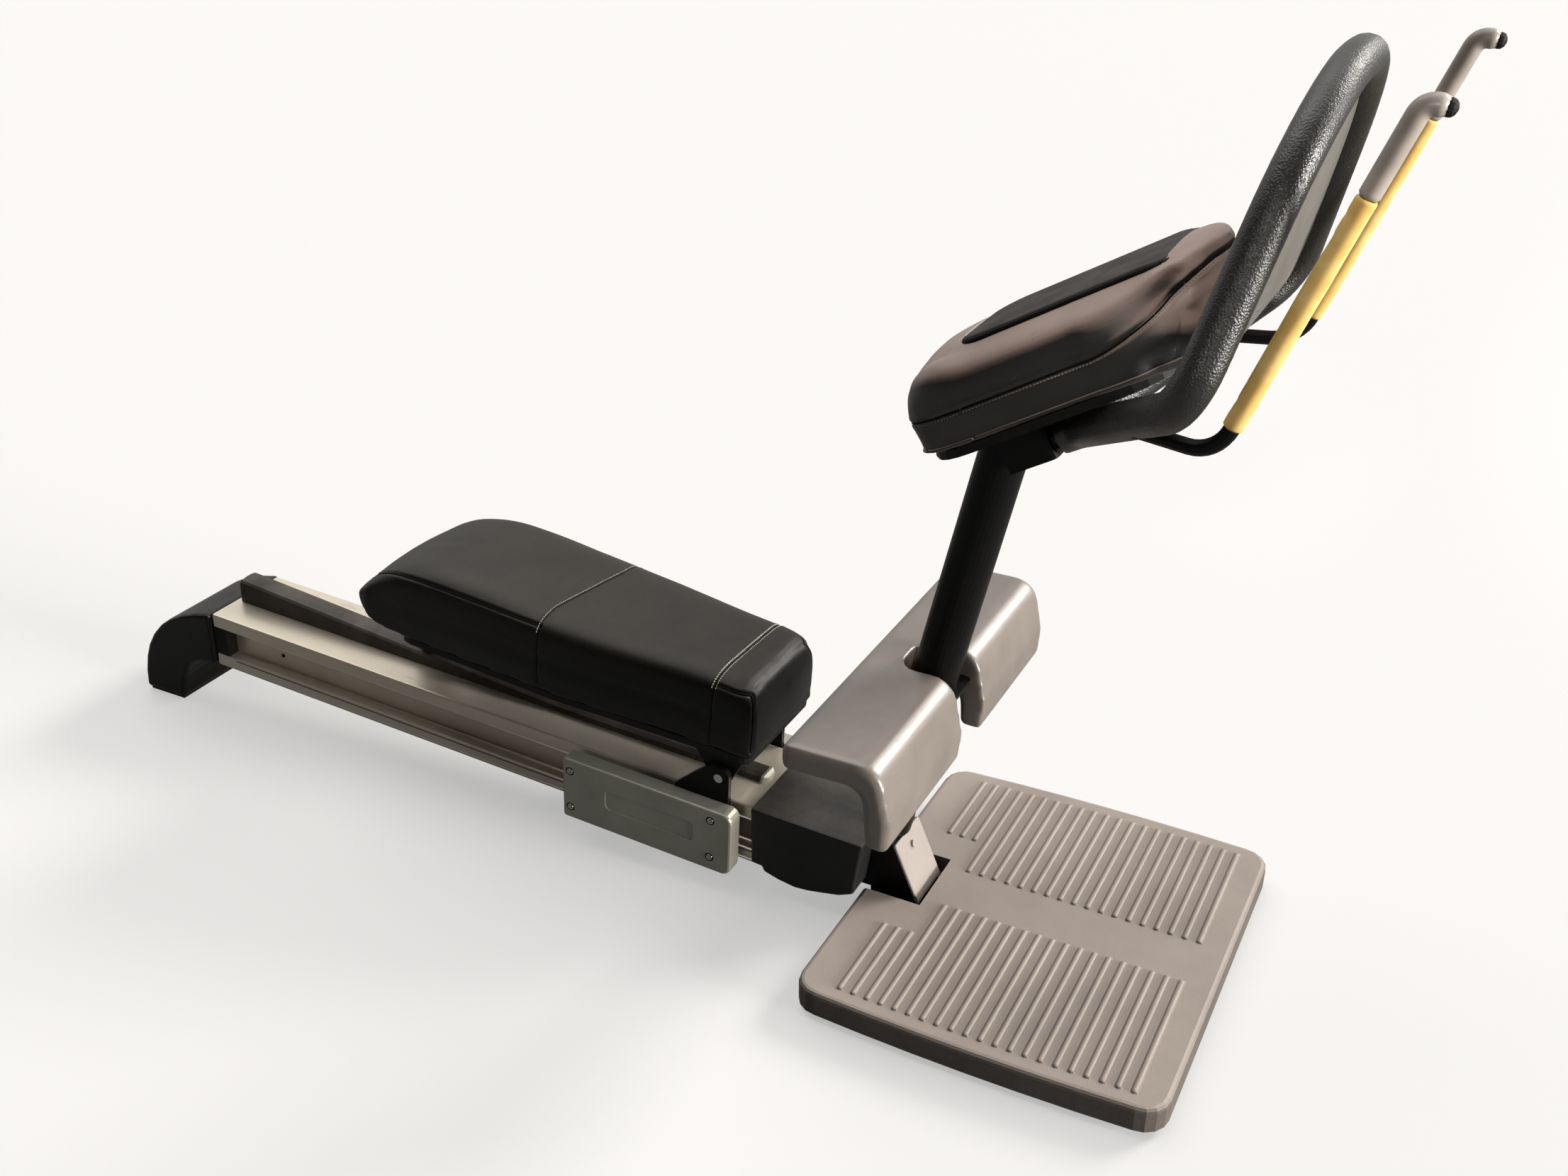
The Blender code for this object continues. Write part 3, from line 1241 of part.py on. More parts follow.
def seat_levels(x):
    """Lowest and highest point of the seat pad at x, in the seat's frame."""
    low = SEAT_BOARD_BOTTOM + SEAT_BOARD_THICK + SEAT_GAP
    low += (SEAT_NOSE_Z - low) * roll_over(x - SEAT_NOSE, SEAT_NOSE_LOW)
    high = SEAT_TOP - SEAT_DIP * eased((x - SEAT_DIP_START) / (SEAT_DIP_END - SEAT_DIP_START))
    high -= SEAT_FALL * max(0.0, (x - SEAT_DIP_END) / (SEAT_FRONT - SEAT_DIP_END))
    nose = roll_over(x - SEAT_NOSE, SEAT_NOSE_LENGTH, SEAT_NOSE_START, SEAT_NOSE_END)
    high -= (SEAT_TOP - SEAT_NOSE_Z) * nose
    high -= SEAT_FRONT_ROLL * roll_over(SEAT_FRONT - x, SEAT_FRONT_ROLL)
    return (low, max(high, low + SEAT_NOSE_THICK))


def make_seat(seat):
    stations = [SEAT_NOSE + reach for reach in SEAT_STATIONS]
    stations += [SEAT_FRONT - reach for reach in SEAT_FRONT_STATIONS]
    rings = []
    for x in stations:
        low, high = seat_levels(x)
        crown = min(SEAT_CROWN, (high - low) / 4.0)
        seam = low + SEAT_SEAM_SHARE * (high - low)
        ring = cushion_ring(seat_half_width(x), low, high, SEAT_SHOULDER, crown, SEAT_DRAW_IN, seam)
        rings.append([(x, y, z) for y, z in ring])
    bm = bmesh.new()
    loft(bm, rings)
    finish("seat_pad", bm, black_leather(), seat, smooth=60)
    make_seat_board(seat)
    make_seat_lugs(seat)
    make_seat_fork(seat)


def make_seat_board(seat):
    low = SEAT_BOARD_BOTTOM
    rear = SEAT_NOSE + SEAT_NOSE_LOW
    front = SEAT_FRONT - SEAT_TAB_MARGIN
    wide = SEAT_HALF_REAR - BOARD_INSET
    slim = SEAT_HALF_FRONT - BOARD_INSET
    right = [(rear, -wide, SEAT_BOARD_CORNER), (SEAT_TAPER_REAR, -wide, SEAT_BOARD_SWEEP),
             (SEAT_TAPER_FRONT, -slim, SEAT_BOARD_SWEEP), (front, -slim, SEAT_BOARD_CORNER / 2.0)]
    left = [(x, -y, radius) for x, y, radius in reversed(right)]
    outline = rounded_outline(right + left, steps=3)
    board = prism(outline, low, low + SEAT_BOARD_THICK, axis="Z")
    finish("seat_board", board, board_black(), seat, smooth=40)

    tab_x = rear + SEAT_TAB_MARGIN
    under = low - SEAT_GAP
    tab = box((tab_x, -TAB_INNER - TAB_WIDTH, under - TAB_THICK), (tab_x + TAB_LENGTH, -TAB_INNER, under))
    bevel(finish("seat_tab", tab, mustard_grip(), seat), FINE_EDGE, 1)


def hanger(x, y, nose, rear_reach, front_reach, top):
    """Side outline of a bracket that hangs from the board and ends in a round nose about a hole."""
    return rounded_outline([(x - rear_reach, top, 0.0), (x - nose, y - nose, nose * 0.9),
                            (x + nose, y - nose, nose * 0.9), (x + front_reach, top, 0.0)])


def make_seat_lugs(seat):
    top = SEAT_BOARD_BOTTOM - SEAT_GAP
    outer = CARRIAGE_INNER - SEAT_GAP - EAR_THICK - LUG_GAP
    outline = hanger(0.0, 0.0, LUG_NOSE, LUG_REAR, LUG_FRONT, top)
    for side, word in ((-1, "right"), (1, "left")):
        ends = sorted((side * outer, side * (outer - LUG_THICK)))
        lug = finish("seat_lug_" + word, prism(outline, ends[0], ends[1]), satin_black(), seat, smooth=40)
        drill(lug, "seat_lug_hole_" + word, PIVOT_PIN_R + SEAT_GAP, seat)


def make_seat_fork(seat):
    """A fork under the board's rear end, with the roller that rides up the ramp strip."""
    top = SEAT_BOARD_BOTTOM - SEAT_GAP
    axle = seat_axle()
    place = (axle.x, 0.0, axle.y)
    cheek = SEAT_ROLLER_WIDTH / 2.0 + FORK_SIDE_GAP
    reach = FORK_LENGTH / 2.0
    outline = hanger(axle.x, axle.y, FORK_NOSE, reach, reach, top)
    body = prism(outline, -cheek - FORK_THICK, cheek + FORK_THICK)
    fork = finish("seat_fork", body, satin_black(), seat, smooth=40)
    slot = box((axle.x - FORK_LENGTH, -cheek, axle.y - FORK_LENGTH),
               (axle.x + FORK_LENGTH, cheek, top - FORK_THICK))
    boolean(fork, finish("seat_fork_slot", slot, satin_black(), seat))
    drill(fork, "seat_fork_hole", AXLE_R + SEAT_GAP, seat, place)
    make_roller("seat_roller", SEAT_ROLLER_R, SEAT_ROLLER_WIDTH, SEAT_ROLLER_RIM, seat, place)
    end = cheek + FORK_THICK + SEAT_AXLE_PROUD
    pin = turned([(-end, AXLE_R), (end, AXLE_R)], 16, centre=place)
    finish("seat_roller_axle", pin, bright_steel(), seat, smooth=40)


def seat_axle():
    """Axle of the seat's rear roller, in the seat's frame, where the roller rests on the ramp."""
    rail_x, _ = to_rail(SEAT_ROLLER_X, PIVOT_Z)
    rise = (SEAT_ROLLER_R + SEAT_GAP) / math.cos(math.atan(RAMP_SLOPE))
    world = rail_point(rail_x, ramp_height(rail_x) + rise)
    return Vector(to_seat(world[0], world[1]))


def centre_on_origin(root):
    """Moves everything so that the origin is under the middle of the machine."""
    bpy.context.view_layer.update()
    graph = bpy.context.evaluated_depsgraph_get()
    low = math.inf
    high = -math.inf
    for item in bpy.data.objects:
        if item.type != "MESH" or item.hide_render:
            continue
        shaped = item.evaluated_get(graph)
        for vertex in shaped.data.vertices:
            x = (shaped.matrix_world @ vertex.co).x
            low = min(low, x)
            high = max(high, x)
    root.location.x = -(low + high) / 2.0
    bpy.context.view_layer.update()
    return root.location.x


def main():
    clear_scene()
    root = empty_at("machine", (0.0, 0.0, 0.0))
    start = rail_point(0.0, 0.0)
    rail_frame = empty_at("rail_frame", (start[0], 0.0, start[1]), RAIL_INCLINE, root)
    carriage = empty_at("carriage_frame", (0.0, 0.0, 0.0), 0.0, rail_frame)
    chest_frame = empty_at("chest_frame", (0.0, 0.0, 0.0), -CHEST_INCLINE, root)
    seat = empty_at("seat_frame", (PIVOT_X, 0.0, PIVOT_Z), SEAT_SLOPE, root)
    make_rail(rail_frame)
    make_ramp(rail_frame)
    make_rear_foot(root)
    make_base(root)
    make_housing(root)
    make_footplate(root)
    make_column(root)
    make_shin_pad(root)
    make_chest(chest_frame)
    make_column_head(root, chest_frame)
    foam = make_loop(root)
    make_panel(root)
    make_handles(root, foam)
    make_carriage(carriage)
    make_seat(seat)
    shift = centre_on_origin(root)
    pivot = to_rail(PIVOT_X, PIVOT_Z)
    axle = seat_axle()
    print("shift of the working zero along X: %.5f" % shift)
    print("hinge pin in the rail's frame: %.5f %.5f" % pivot)
    print("seat roller axle in the seat's frame: %.5f %.5f" % (axle.x, axle.y))


main()
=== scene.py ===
# %% [markdown]
# # A stretching machine, dressed for its portrait
#
# The solids of this machine come from its CAD model: a rail that slopes up to the rear, a carriage
# that rolls on it with a tilting seat, and a column with pads, a foam loop and handles. They already
# have the right size and place. This script adds what the solids can't show: leather that is sewn
# and stuffed, moulded foam, brushed metal, dust, stitches and screws.

# %% Load the frame and the tools
import math

import bmesh
import bpy
import numpy as np
from mathutils import Matrix, Vector, noise
from mathutils.bvhtree import BVHTree
from mathutils.kdtree import KDTree


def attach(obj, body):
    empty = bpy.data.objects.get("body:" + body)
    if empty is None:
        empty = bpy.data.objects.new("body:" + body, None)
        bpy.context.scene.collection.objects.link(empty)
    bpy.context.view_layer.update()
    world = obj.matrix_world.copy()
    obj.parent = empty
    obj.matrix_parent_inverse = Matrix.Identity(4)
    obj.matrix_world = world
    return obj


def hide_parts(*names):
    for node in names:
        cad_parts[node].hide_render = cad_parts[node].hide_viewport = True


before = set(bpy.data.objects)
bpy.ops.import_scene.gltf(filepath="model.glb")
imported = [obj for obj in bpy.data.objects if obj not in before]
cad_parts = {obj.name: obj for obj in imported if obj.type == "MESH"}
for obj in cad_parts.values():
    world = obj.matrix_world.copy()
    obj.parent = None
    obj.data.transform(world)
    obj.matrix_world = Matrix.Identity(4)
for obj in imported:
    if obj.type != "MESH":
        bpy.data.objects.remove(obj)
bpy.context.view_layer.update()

# %% [markdown]
# ## Three slopes
#
# Much of the machine is tilted: the rail falls about 3 degrees towards the footplate, the seat a
# little more, and the upper pad rises 30 degrees. It is easier to place a seam as "80 mm along the
# pad, 10 mm below its top" than in world numbers. So each slope gets a function that turns such a
# place into a world point, and one more that turns a direction.

# %% Frames of the rail, the seat and the upper pad
ORIGIN_X = 0.44622            # from the column's foot to the middle of the machine
RAIL_SLOPE = math.radians(2.989)
RAIL_REF_ALONG = -0.1921
RAIL_REF = Vector((RAIL_REF_ALONG + ORIGIN_X, 0.0, 0.1601))
SEAT_SLOPE = math.radians(5.56)
SEAT_PIN = Vector((0.19922, 0.0, 0.205))
PAD_SLOPE = math.radians(30.0)


def rail_place(along, side, high):
    """A point given along the rail, sideways, and above the rail's top face."""
    return RAIL_REF + Matrix.Rotation(RAIL_SLOPE, 3, "Y") @ Vector((along - RAIL_REF_ALONG, side, high))


def seat_place(along, side, high):
    """A point given forward of the hinge pin, sideways, and above it, square to the seat."""
    return SEAT_PIN + Matrix.Rotation(SEAT_SLOPE, 3, "Y") @ Vector((along, side, high))


def pad_place(along, side, high):
    """A point given up the upper pad's slope, sideways, and square to the slope."""
    return Vector((ORIGIN_X, 0.0, 0.0)) + Matrix.Rotation(-PAD_SLOPE, 3, "Y") @ Vector((along, side, high))


def heading(place, along, side, high):
    """The world direction of a direction given in one of the frames above."""
    return (place(along, side, high) - place(0.0, 0.0, 0.0)).normalized()


print("seat pin at", tuple(round(v, 3) for v in seat_place(0.0, 0.0, 0.0)))

# %% [markdown]
# ## The camera
#
# The photograph was taken from standing height, from the machine's front right. Its camera was
# worked out from the straight rail and the square footplate, so every solid falls on its own place
# in the picture. A camera looks along its own -Z, so its matrix holds its right, its up and the
# opposite of its line of sight.

# %% Camera
CAMERA_PLACE = Vector((1.27492, -1.9393, 1.6804))
CAMERA_RIGHT = Vector((0.8875, 0.4608, 0.0)).normalized()
CAMERA_AHEAD = Vector((-0.4072, 0.7845, -0.4677)).normalized()
CAMERA_LENS = 36.535
CAMERA_SENSOR = 36.0

camera = bpy.data.objects.new("photo_camera", bpy.data.cameras.new("photo_camera"))
bpy.context.scene.collection.objects.link(camera)
camera.data.lens = CAMERA_LENS
camera.data.sensor_width = CAMERA_SENSOR
camera.data.clip_end = 60.0
up = CAMERA_RIGHT.cross(CAMERA_AHEAD).normalized()
right = CAMERA_AHEAD.cross(up).normalized()
turn = Matrix((right, up, -CAMERA_AHEAD)).transposed()
camera.matrix_world = Matrix.Translation(CAMERA_PLACE) @ turn.to_4x4()
bpy.context.scene.camera = camera
print("camera", round(camera.data.lens, 1), "mm lens at height", round(CAMERA_PLACE.z, 2))

# %% [markdown]
# ## Small helpers for nodes
#
# A material is a little network of nodes. Written out in full, each node takes four or five lines,
# so one helper adds a node, sets it up and joins its inputs: an input is either a plain number or
# the socket of an earlier node.


# %% Node helpers
def srgb(red, green, blue):
    """A colour as a paint chart gives it, 0 to 255, turned into the linear values Blender wants."""
    shares = [part / 255.0 for part in (red, green, blue)]
    return (*(share / 12.92 if share <= 0.04045 else ((share + 0.055) / 1.055) ** 2.4
              for share in shares), 1.0)


def place_node(tree, kind, inputs=None, **settings):
    """Adds a node to a tree, sets it up, and feeds its inputs with numbers or sockets."""
    made = tree.nodes.new(kind)
    for key, value in settings.items():
        setattr(made, key, value)
    for key, value in (inputs or {}).items():
        if isinstance(value, bpy.types.NodeSocket):
            tree.links.new(value, made.inputs[key])
        else:
            made.inputs[key].default_value = value
    return made


def combine(tree, operation, first, second, clamp=False):
    """One Math node: first and second are numbers or sockets."""
    return place_node(tree, "ShaderNodeMath", {0: first, 1: second}, operation=operation,
                      use_clamp=clamp).outputs[0]


def plus(tree, first, second, clamp=False):
    return combine(tree, "ADD", first, second, clamp)


def minus(tree, first, second, clamp=False):
    return combine(tree, "SUBTRACT", first, second, clamp)


def times(tree, first, second, clamp=False):
    return combine(tree, "MULTIPLY", first, second, clamp)


def remap(tree, value, low, high, to_low=0.0, to_high=1.0):
    """Turns low..high into to_low..to_high and holds it there."""
    given = {"Value": value, "From Min": low, "From Max": high, "To Min": to_low, "To Max": to_high}
    return place_node(tree, "ShaderNodeMapRange", given, clamp=True).outputs["Result"]


def blend_colours(tree, share, first, second):
    """Mixes two colours by a share from 0 to 1. A Mix node keeps its colour sockets after the others."""
    return place_node(tree, "ShaderNodeMix", {0: share, 6: first, 7: second}, data_type="RGBA").outputs[2]


print("white is", srgb(255, 255, 255)[:3])

# %% [markdown]
# ## Effects that several finishes share
#
# Leather, foam, moulded plastic and paint look different, yet they share effects: uneven tone, a
# fine grain, painted shade in the creases of leather, edges made lighter by wear and by a painted
# highlight, tops made lighter by use and by a painted sheen, and dust that settles on whatever faces up.
# Each effect is a node group, built once, with named inputs. A group puts out a mask or a height;
# the material decides what to do with it. All patterns read object coordinates, so that a grain has
# its real size in metres and moves with its piece.


# %% What the groups are built from
def start_group(name, inputs, outputs):
    """A new node group with number sockets: inputs as (name, value), outputs by name."""
    tree = bpy.data.node_groups.new(name, "ShaderNodeTree")
    print("group", name, "takes", dict(inputs), "and gives", outputs)
    for label, value in inputs:
        socket = tree.interface.new_socket(name=label, in_out="INPUT", socket_type="NodeSocketFloat")
        socket.default_value = value
    for label in outputs:
        tree.interface.new_socket(name=label, in_out="OUTPUT", socket_type="NodeSocketFloat")
    return tree, tree.nodes.new("NodeGroupInput").outputs, tree.nodes.new("NodeGroupOutput").inputs


def object_place(tree, stretch=(1.0, 1.0, 1.0)):
    """Object coordinates, stretched along each axis."""
    where = tree.nodes.new("ShaderNodeTexCoord").outputs["Object"]
    return place_node(tree, "ShaderNodeMapping", {"Vector": where, "Scale": stretch}).outputs["Vector"]


def noise_value(tree, where, scale, detail=3.0, rough=0.5):
    """A soft random value from about 0 to 1."""
    return place_node(tree, "ShaderNodeTexNoise",
                      {"Vector": where, "Scale": scale, "Detail": detail, "Roughness": rough}).outputs["Fac"]


def patches(tree, scale, detail, rough, *span):
    """A mask of soft patches. span is what remap takes: low, high and what they become."""
    return remap(tree, noise_value(tree, object_place(tree), scale, detail, rough), *span)


def cell_distance(tree, where, scale, feature="F1"):
    """How far a point is from the middle, or the edge, of its cell."""
    return place_node(tree, "ShaderNodeTexVoronoi", {"Vector": where, "Scale": scale},
                      feature=feature).outputs["Distance"]


def turned_up(tree, low, high):
    """1 where the surface faces up, 0 where it doesn't. low and high are the Z of its normal."""
    normal = tree.nodes.new("ShaderNodeNewGeometry").outputs["Normal"]
    return remap(tree, place_node(tree, "ShaderNodeSeparateXYZ", {0: normal}).outputs["Z"], low, high)


print("group tools ready")

# %% Group: uneven tone
tone, given, result = start_group("uneven_tone", [("Scale", 6.0), ("Contrast", 0.5)], ["Mask"])
cloud = noise_value(tone, object_place(tone), given["Scale"], 4.0, 0.6)
stronger = times(tone, minus(tone, cloud, 0.5), times(tone, given["Contrast"], 6.0))
tone.links.new(plus(tone, stronger, 0.5, clamp=True), result["Mask"])

# %% Group: leather grain
grain, given, result = start_group("leather_grain", [("Cell Size", 0.003)], ["Height", "Crease"])
where = object_place(grain)
scale = combine(grain, "DIVIDE", 1.0, given["Cell Size"])
edge = remap(grain, cell_distance(grain, where, scale, "DISTANCE_TO_EDGE"), 0.0, 0.16)
bend = plus(grain, times(grain, noise_value(grain, where, 90.0, 2.0), 0.8), 0.3)
fine = times(grain, noise_value(grain, where, times(grain, scale, 2.5), 2.0), 0.35)
grain.links.new(plus(grain, times(grain, edge, bend), fine), result["Height"])
grain.links.new(minus(grain, 1.0, edge, clamp=True), result["Crease"])

# %% Group: stipple of a mould, or the cells of a foam skin
stipple, given, result = start_group("mould_stipple", [("Dot Size", 0.0015), ("Sharpness", 0.5)],
                                     ["Height", "Spark"])
where = object_place(stipple)
scale = combine(stipple, "DIVIDE", 1.0, given["Dot Size"])
round_dot = remap(stipple, cell_distance(stipple, where, scale), 0.0, 0.7, 1.0, 0.0)
soft_dot = noise_value(stipple, where, scale, 2.0, 0.6)
tall = place_node(stipple, "ShaderNodeMix", {0: given["Sharpness"], 2: soft_dot, 3: round_dot},
                  data_type="FLOAT")
stipple.links.new(tall.outputs[0], result["Height"])
lone = cell_distance(stipple, where, times(stipple, scale, 0.45))
stipple.links.new(remap(stipple, lone, 0.0, 0.28, 1.0, 0.0), result["Spark"])

# %% Group: drawn metal, with fine lines along its length
drawn, given, result = start_group("drawn_lines", [("Scale", 900.0)], ["Height"])
lines = noise_value(drawn, object_place(drawn, (0.012, 1.0, 1.0)), given["Scale"], 3.0, 0.65)
broad = noise_value(drawn, object_place(drawn, (0.03, 1.0, 1.0)), times(drawn, given["Scale"], 0.12), 2.0)
drawn.links.new(plus(drawn, times(drawn, lines, 0.6), times(drawn, broad, 0.4)), result["Height"])

# %% Group: edges made lighter by wear and by a painted highlight
worn, given, result = start_group("edge_wear_and_highlight", [("Width", 0.002), ("Break Up", 0.5)], ["Mask"])
rounded = place_node(worn, "ShaderNodeBevel", {"Radius": given["Width"]}, samples=4).outputs["Normal"]
flat = worn.nodes.new("ShaderNodeNewGeometry").outputs["Normal"]
facing = place_node(worn, "ShaderNodeVectorMath", {0: rounded, 1: flat}, operation="DOT_PRODUCT")
edge = remap(worn, facing.outputs["Value"], 0.972, 0.84)
patchy = times(worn, given["Break Up"], patches(worn, 70.0, 3.0, 0.5, 0.42, 0.62))
kept = plus(worn, minus(worn, 1.0, given["Break Up"]), patchy)
worn.links.new(times(worn, edge, kept, clamp=True), result["Mask"])

# %% Group: dust on what faces up
dust, given, result = start_group("settled_dust", [("Scale", 9.0), ("Amount", 0.4)], ["Mask"])
cloud = times(dust, patches(dust, given["Scale"], 5.0, 0.65, 0.36, 0.72), 0.75)
speck = times(dust, patches(dust, 420.0, 2.0, 0.5, 0.60, 0.74), 0.35)
laid = times(dust, plus(dust, cloud, speck), turned_up(dust, 0.45, 0.98))
dust.links.new(times(dust, laid, given["Amount"], clamp=True), result["Mask"])

# %% Group: tops made lighter by use and by a painted sheen
sheen_and_wear, given, result = start_group("sheen_and_wear_tops", [("Scale", 4.0), ("Low", 0.45), ("High", 0.86)],
                                     ["Mask"])
upward = turned_up(sheen_and_wear, given["Low"], given["High"])
cloud = patches(sheen_and_wear, given["Scale"], 4.0, 0.6, 0.30, 0.70, 0.72, 1.0)
sheen_and_wear.links.new(times(sheen_and_wear, upward, cloud, clamp=True), result["Mask"])

# %% Group: scuffs and scratches
scuff, given, result = start_group("scuffs", [("Scale", 14.0), ("Amount", 0.5)], ["Mask"])
one_way = noise_value(scuff, object_place(scuff, (1.0, 14.0, 14.0)), given["Scale"], 3.0, 0.7)
other_way = noise_value(scuff, object_place(scuff, (11.0, 1.6, 9.0)), given["Scale"], 3.0, 0.7)
thin = combine(scuff, "MAXIMUM", remap(scuff, one_way, 0.635, 0.70), remap(scuff, other_way, 0.655, 0.72))
some = times(scuff, thin, patches(scuff, 5.0, 2.0, 0.5, 0.45, 0.62))
scuff.links.new(times(scuff, some, given["Amount"], clamp=True), result["Mask"])
print("effect groups:", sorted(group.name for group in bpy.data.node_groups))

# %% [markdown]
# ## One recipe for a finish
#
# Every material here is a Principled BSDF with the same order of work, as a painter would do it:
# two tones of the base colour, then lighter tops and edges (partly wear, partly painted sheen and
# highlight), scuffs and dust. A grain feeds the bump, and the creases of a leather grain are painted
# darker as shade. What is the same all over a piece, such as its specular level, is set straight on
# the shader. The recipe is a function, and each finish below is one call with its own values.


# %% The recipe
DUST_COLOUR = srgb(176, 166, 152)
# Creases of the leather grain are painted darker than its deep tone: painted shade.
CREASE_DARKER, CREASE_SHARE = 0.45, 0.5         # a crease of the leather grain against its deep tone
SCUFF_ROUGHER, DUST_ROUGHER = 0.12, 0.25
DUST_ON_METAL = 0.5                             # how much of the metal's look dust takes away


def use_group(tree, name, *values):
    """Places one of the effect groups in a material. values go to its inputs in their order."""
    made = tree.nodes.new("ShaderNodeGroup")
    made.node_tree = bpy.data.node_groups[name]
    for socket, value in zip(made.inputs, values):
        socket.default_value = value
    return made.outputs


def make_finish(name, light, deep, rough, texture, bump, tone=(6.0, 0.5), spread=0.06, metallic=0.0,
                specular=0.5, coat=0.0, sheen=0.0, spark=None, sheen_and_wear=None, edges=None, scuffs=None,
                dusty=None):
    """A Principled material. light and deep are its two tones and rough its mean roughness.

    texture is a group with its values, and bump its height in metres. spark, sheen_and_wear, edges and
    scuffs hold the values of their effect and, last, its colour. sheen_and_wear lightens the tops,
    partly as wear and partly as painted sheen; edges lightens the edges, partly as wear and partly as
    painted highlight.
    """
    material = bpy.data.materials.new(name)
    material.use_nodes = True
    material.diffuse_color = srgb(*light)
    tree = material.node_tree
    shader = tree.nodes["Principled BSDF"]
    shade = use_group(tree, "uneven_tone", *tone)["Mask"]
    colour = blend_colours(tree, shade, srgb(*deep), srgb(*light))
    roughness = remap(tree, shade, 0.0, 1.0, rough + spread, rough - spread)
    pattern = use_group(tree, *texture)
    relief = place_node(tree, "ShaderNodeBump",
                        {"Height": pattern["Height"], "Distance": bump, "Strength": 1.0})
    tree.links.new(relief.outputs["Normal"], shader.inputs["Normal"])
    if texture[0] == "leather_grain":
        # The grain's creases are painted darker: painted shade.
        darker = (*(CREASE_DARKER * part for part in srgb(*deep)[:3]), 1.0)
        colour = blend_colours(tree, times(tree, pattern["Crease"], CREASE_SHARE), colour, darker)
    if texture[0] == "drawn_lines":
        roughness = plus(tree, roughness, remap(tree, pattern["Height"], 0.3, 0.7, -0.05, 0.07))
    if spark:
        colour = blend_colours(tree, times(tree, pattern["Spark"], spark[0]), colour, srgb(*spark[1]))
    # Tops that face up are blended towards a lighter colour: partly wear, partly painted sheen.
    if sheen_and_wear:
        mask = use_group(tree, "sheen_and_wear_tops", *sheen_and_wear[:-1])["Mask"]
        colour = blend_colours(tree, mask, colour, srgb(*sheen_and_wear[-1]))
    # Edges are blended towards a lighter tint: partly wear, partly painted highlight.
    if edges:
        width, broken, strength, tint = edges
        mask = times(tree, use_group(tree, "edge_wear_and_highlight", width, broken)["Mask"], strength)
        colour = blend_colours(tree, mask, colour, srgb(*tint))
    if scuffs:
        mask = use_group(tree, "scuffs", *scuffs[:-1])["Mask"]
        colour = blend_colours(tree, mask, colour, srgb(*scuffs[-1]))
        roughness = plus(tree, roughness, times(tree, mask, SCUFF_ROUGHER))
    shader.inputs["Metallic"].default_value = metallic
    if dusty:
        mask = use_group(tree, "settled_dust", *dusty)["Mask"]
        colour = blend_colours(tree, mask, colour, DUST_COLOUR)
        roughness = plus(tree, roughness, times(tree, mask, DUST_ROUGHER))
        if metallic > 0.0:
            metal = minus(tree, metallic, times(tree, mask, DUST_ON_METAL), clamp=True)
            tree.links.new(metal, shader.inputs["Metallic"])
    tree.links.new(colour, shader.inputs["Base Color"])
    tree.links.new(roughness, shader.inputs["Roughness"])
    shader.inputs["Specular IOR Level"].default_value = specular
    shader.inputs["Coat Weight"].default_value = coat
    shader.inputs["Coat Roughness"].default_value = 0.25
    shader.inputs["Sheen Weight"].default_value = sheen
    return material


print("the recipe is ready")

# %% [markdown]
# ### Leather and foam
#
# The seat and the upper pad are covered in black upholstery leather with a fine grain. Their tops
# are painted lighter, the seat's a warm dark grey and the upper pad's a light warm grey: partly the
# rub of skin and cloth, and partly painted sheen. The loop is a thick foam hose whose skin is
# pebbled, so its highlight breaks up into small glints. The shin pad is foam with a moulded grey skin.

# %% Soft finishes
leather = make_finish(
    "black_leather", (28, 26, 24), (20, 19, 18), 0.38, ("leather_grain", 0.0022), 0.00010, tone=(7.0, 0.35),
    specular=0.22, sheen_and_wear=(5.0, 0.50, 0.92, (45, 42, 37)), scuffs=(9.0, 0.15, (84, 79, 72)),
    dusty=(11.0, 0.03))
# Its tops are painted a light warm grey where they face up: painted sheen, with some wear.
pad_leather = make_finish(
    "worn_black_leather", (27, 24, 22), (18, 16, 15), 0.40, ("leather_grain", 0.0026), 0.00012,
    tone=(4.0, 0.6), specular=0.75, sheen=0.1, sheen_and_wear=(5.0, 0.22, 0.52, (188, 162, 149)),
    scuffs=(6.0, 0.3, (116, 104, 97)), dusty=(8.0, 0.04))
inlay_leather = make_finish(
    "inlay_leather", (50, 44, 38), (38, 33, 29), 0.5, ("leather_grain", 0.0018), 0.00012, tone=(16.0, 0.6),
    specular=0.14, dusty=(20.0, 0.12))
loop_skin = make_finish(
    "pebbled_foam", (31, 30, 27), (18, 18, 16), 0.40, ("mould_stipple", 0.0027, 0.6), 0.0007, tone=(9.0, 0.4),
    spread=0.08, specular=0.8)
shin_skin = make_finish(
    "grey_moulded_foam", (134, 125, 117), (112, 104, 97), 0.34, ("mould_stipple", 0.0016, 0.2), 0.00020,
    tone=(5.0, 0.5), specular=0.9, coat=0.20, scuffs=(10.0, 0.2, (176, 166, 156)), dusty=(6.0, 0.08))
grip_foam = make_finish(
    "mustard_foam", (252, 218, 142), (236, 192, 108), 0.55, ("mould_stipple", 0.0016, 0.1), 0.00010,
    tone=(26.0, 0.5), specular=0.2, scuffs=(30.0, 0.25, (190, 140, 70)))
sleeve_skin = make_finish(
    "dark_sleeve", (192, 181, 170), (158, 149, 139), 0.32, ("mould_stipple", 0.0016, 0.1), 0.00006,
    tone=(14.0, 0.4))
print("soft finishes:", leather.name, loop_skin.name, shin_skin.name)
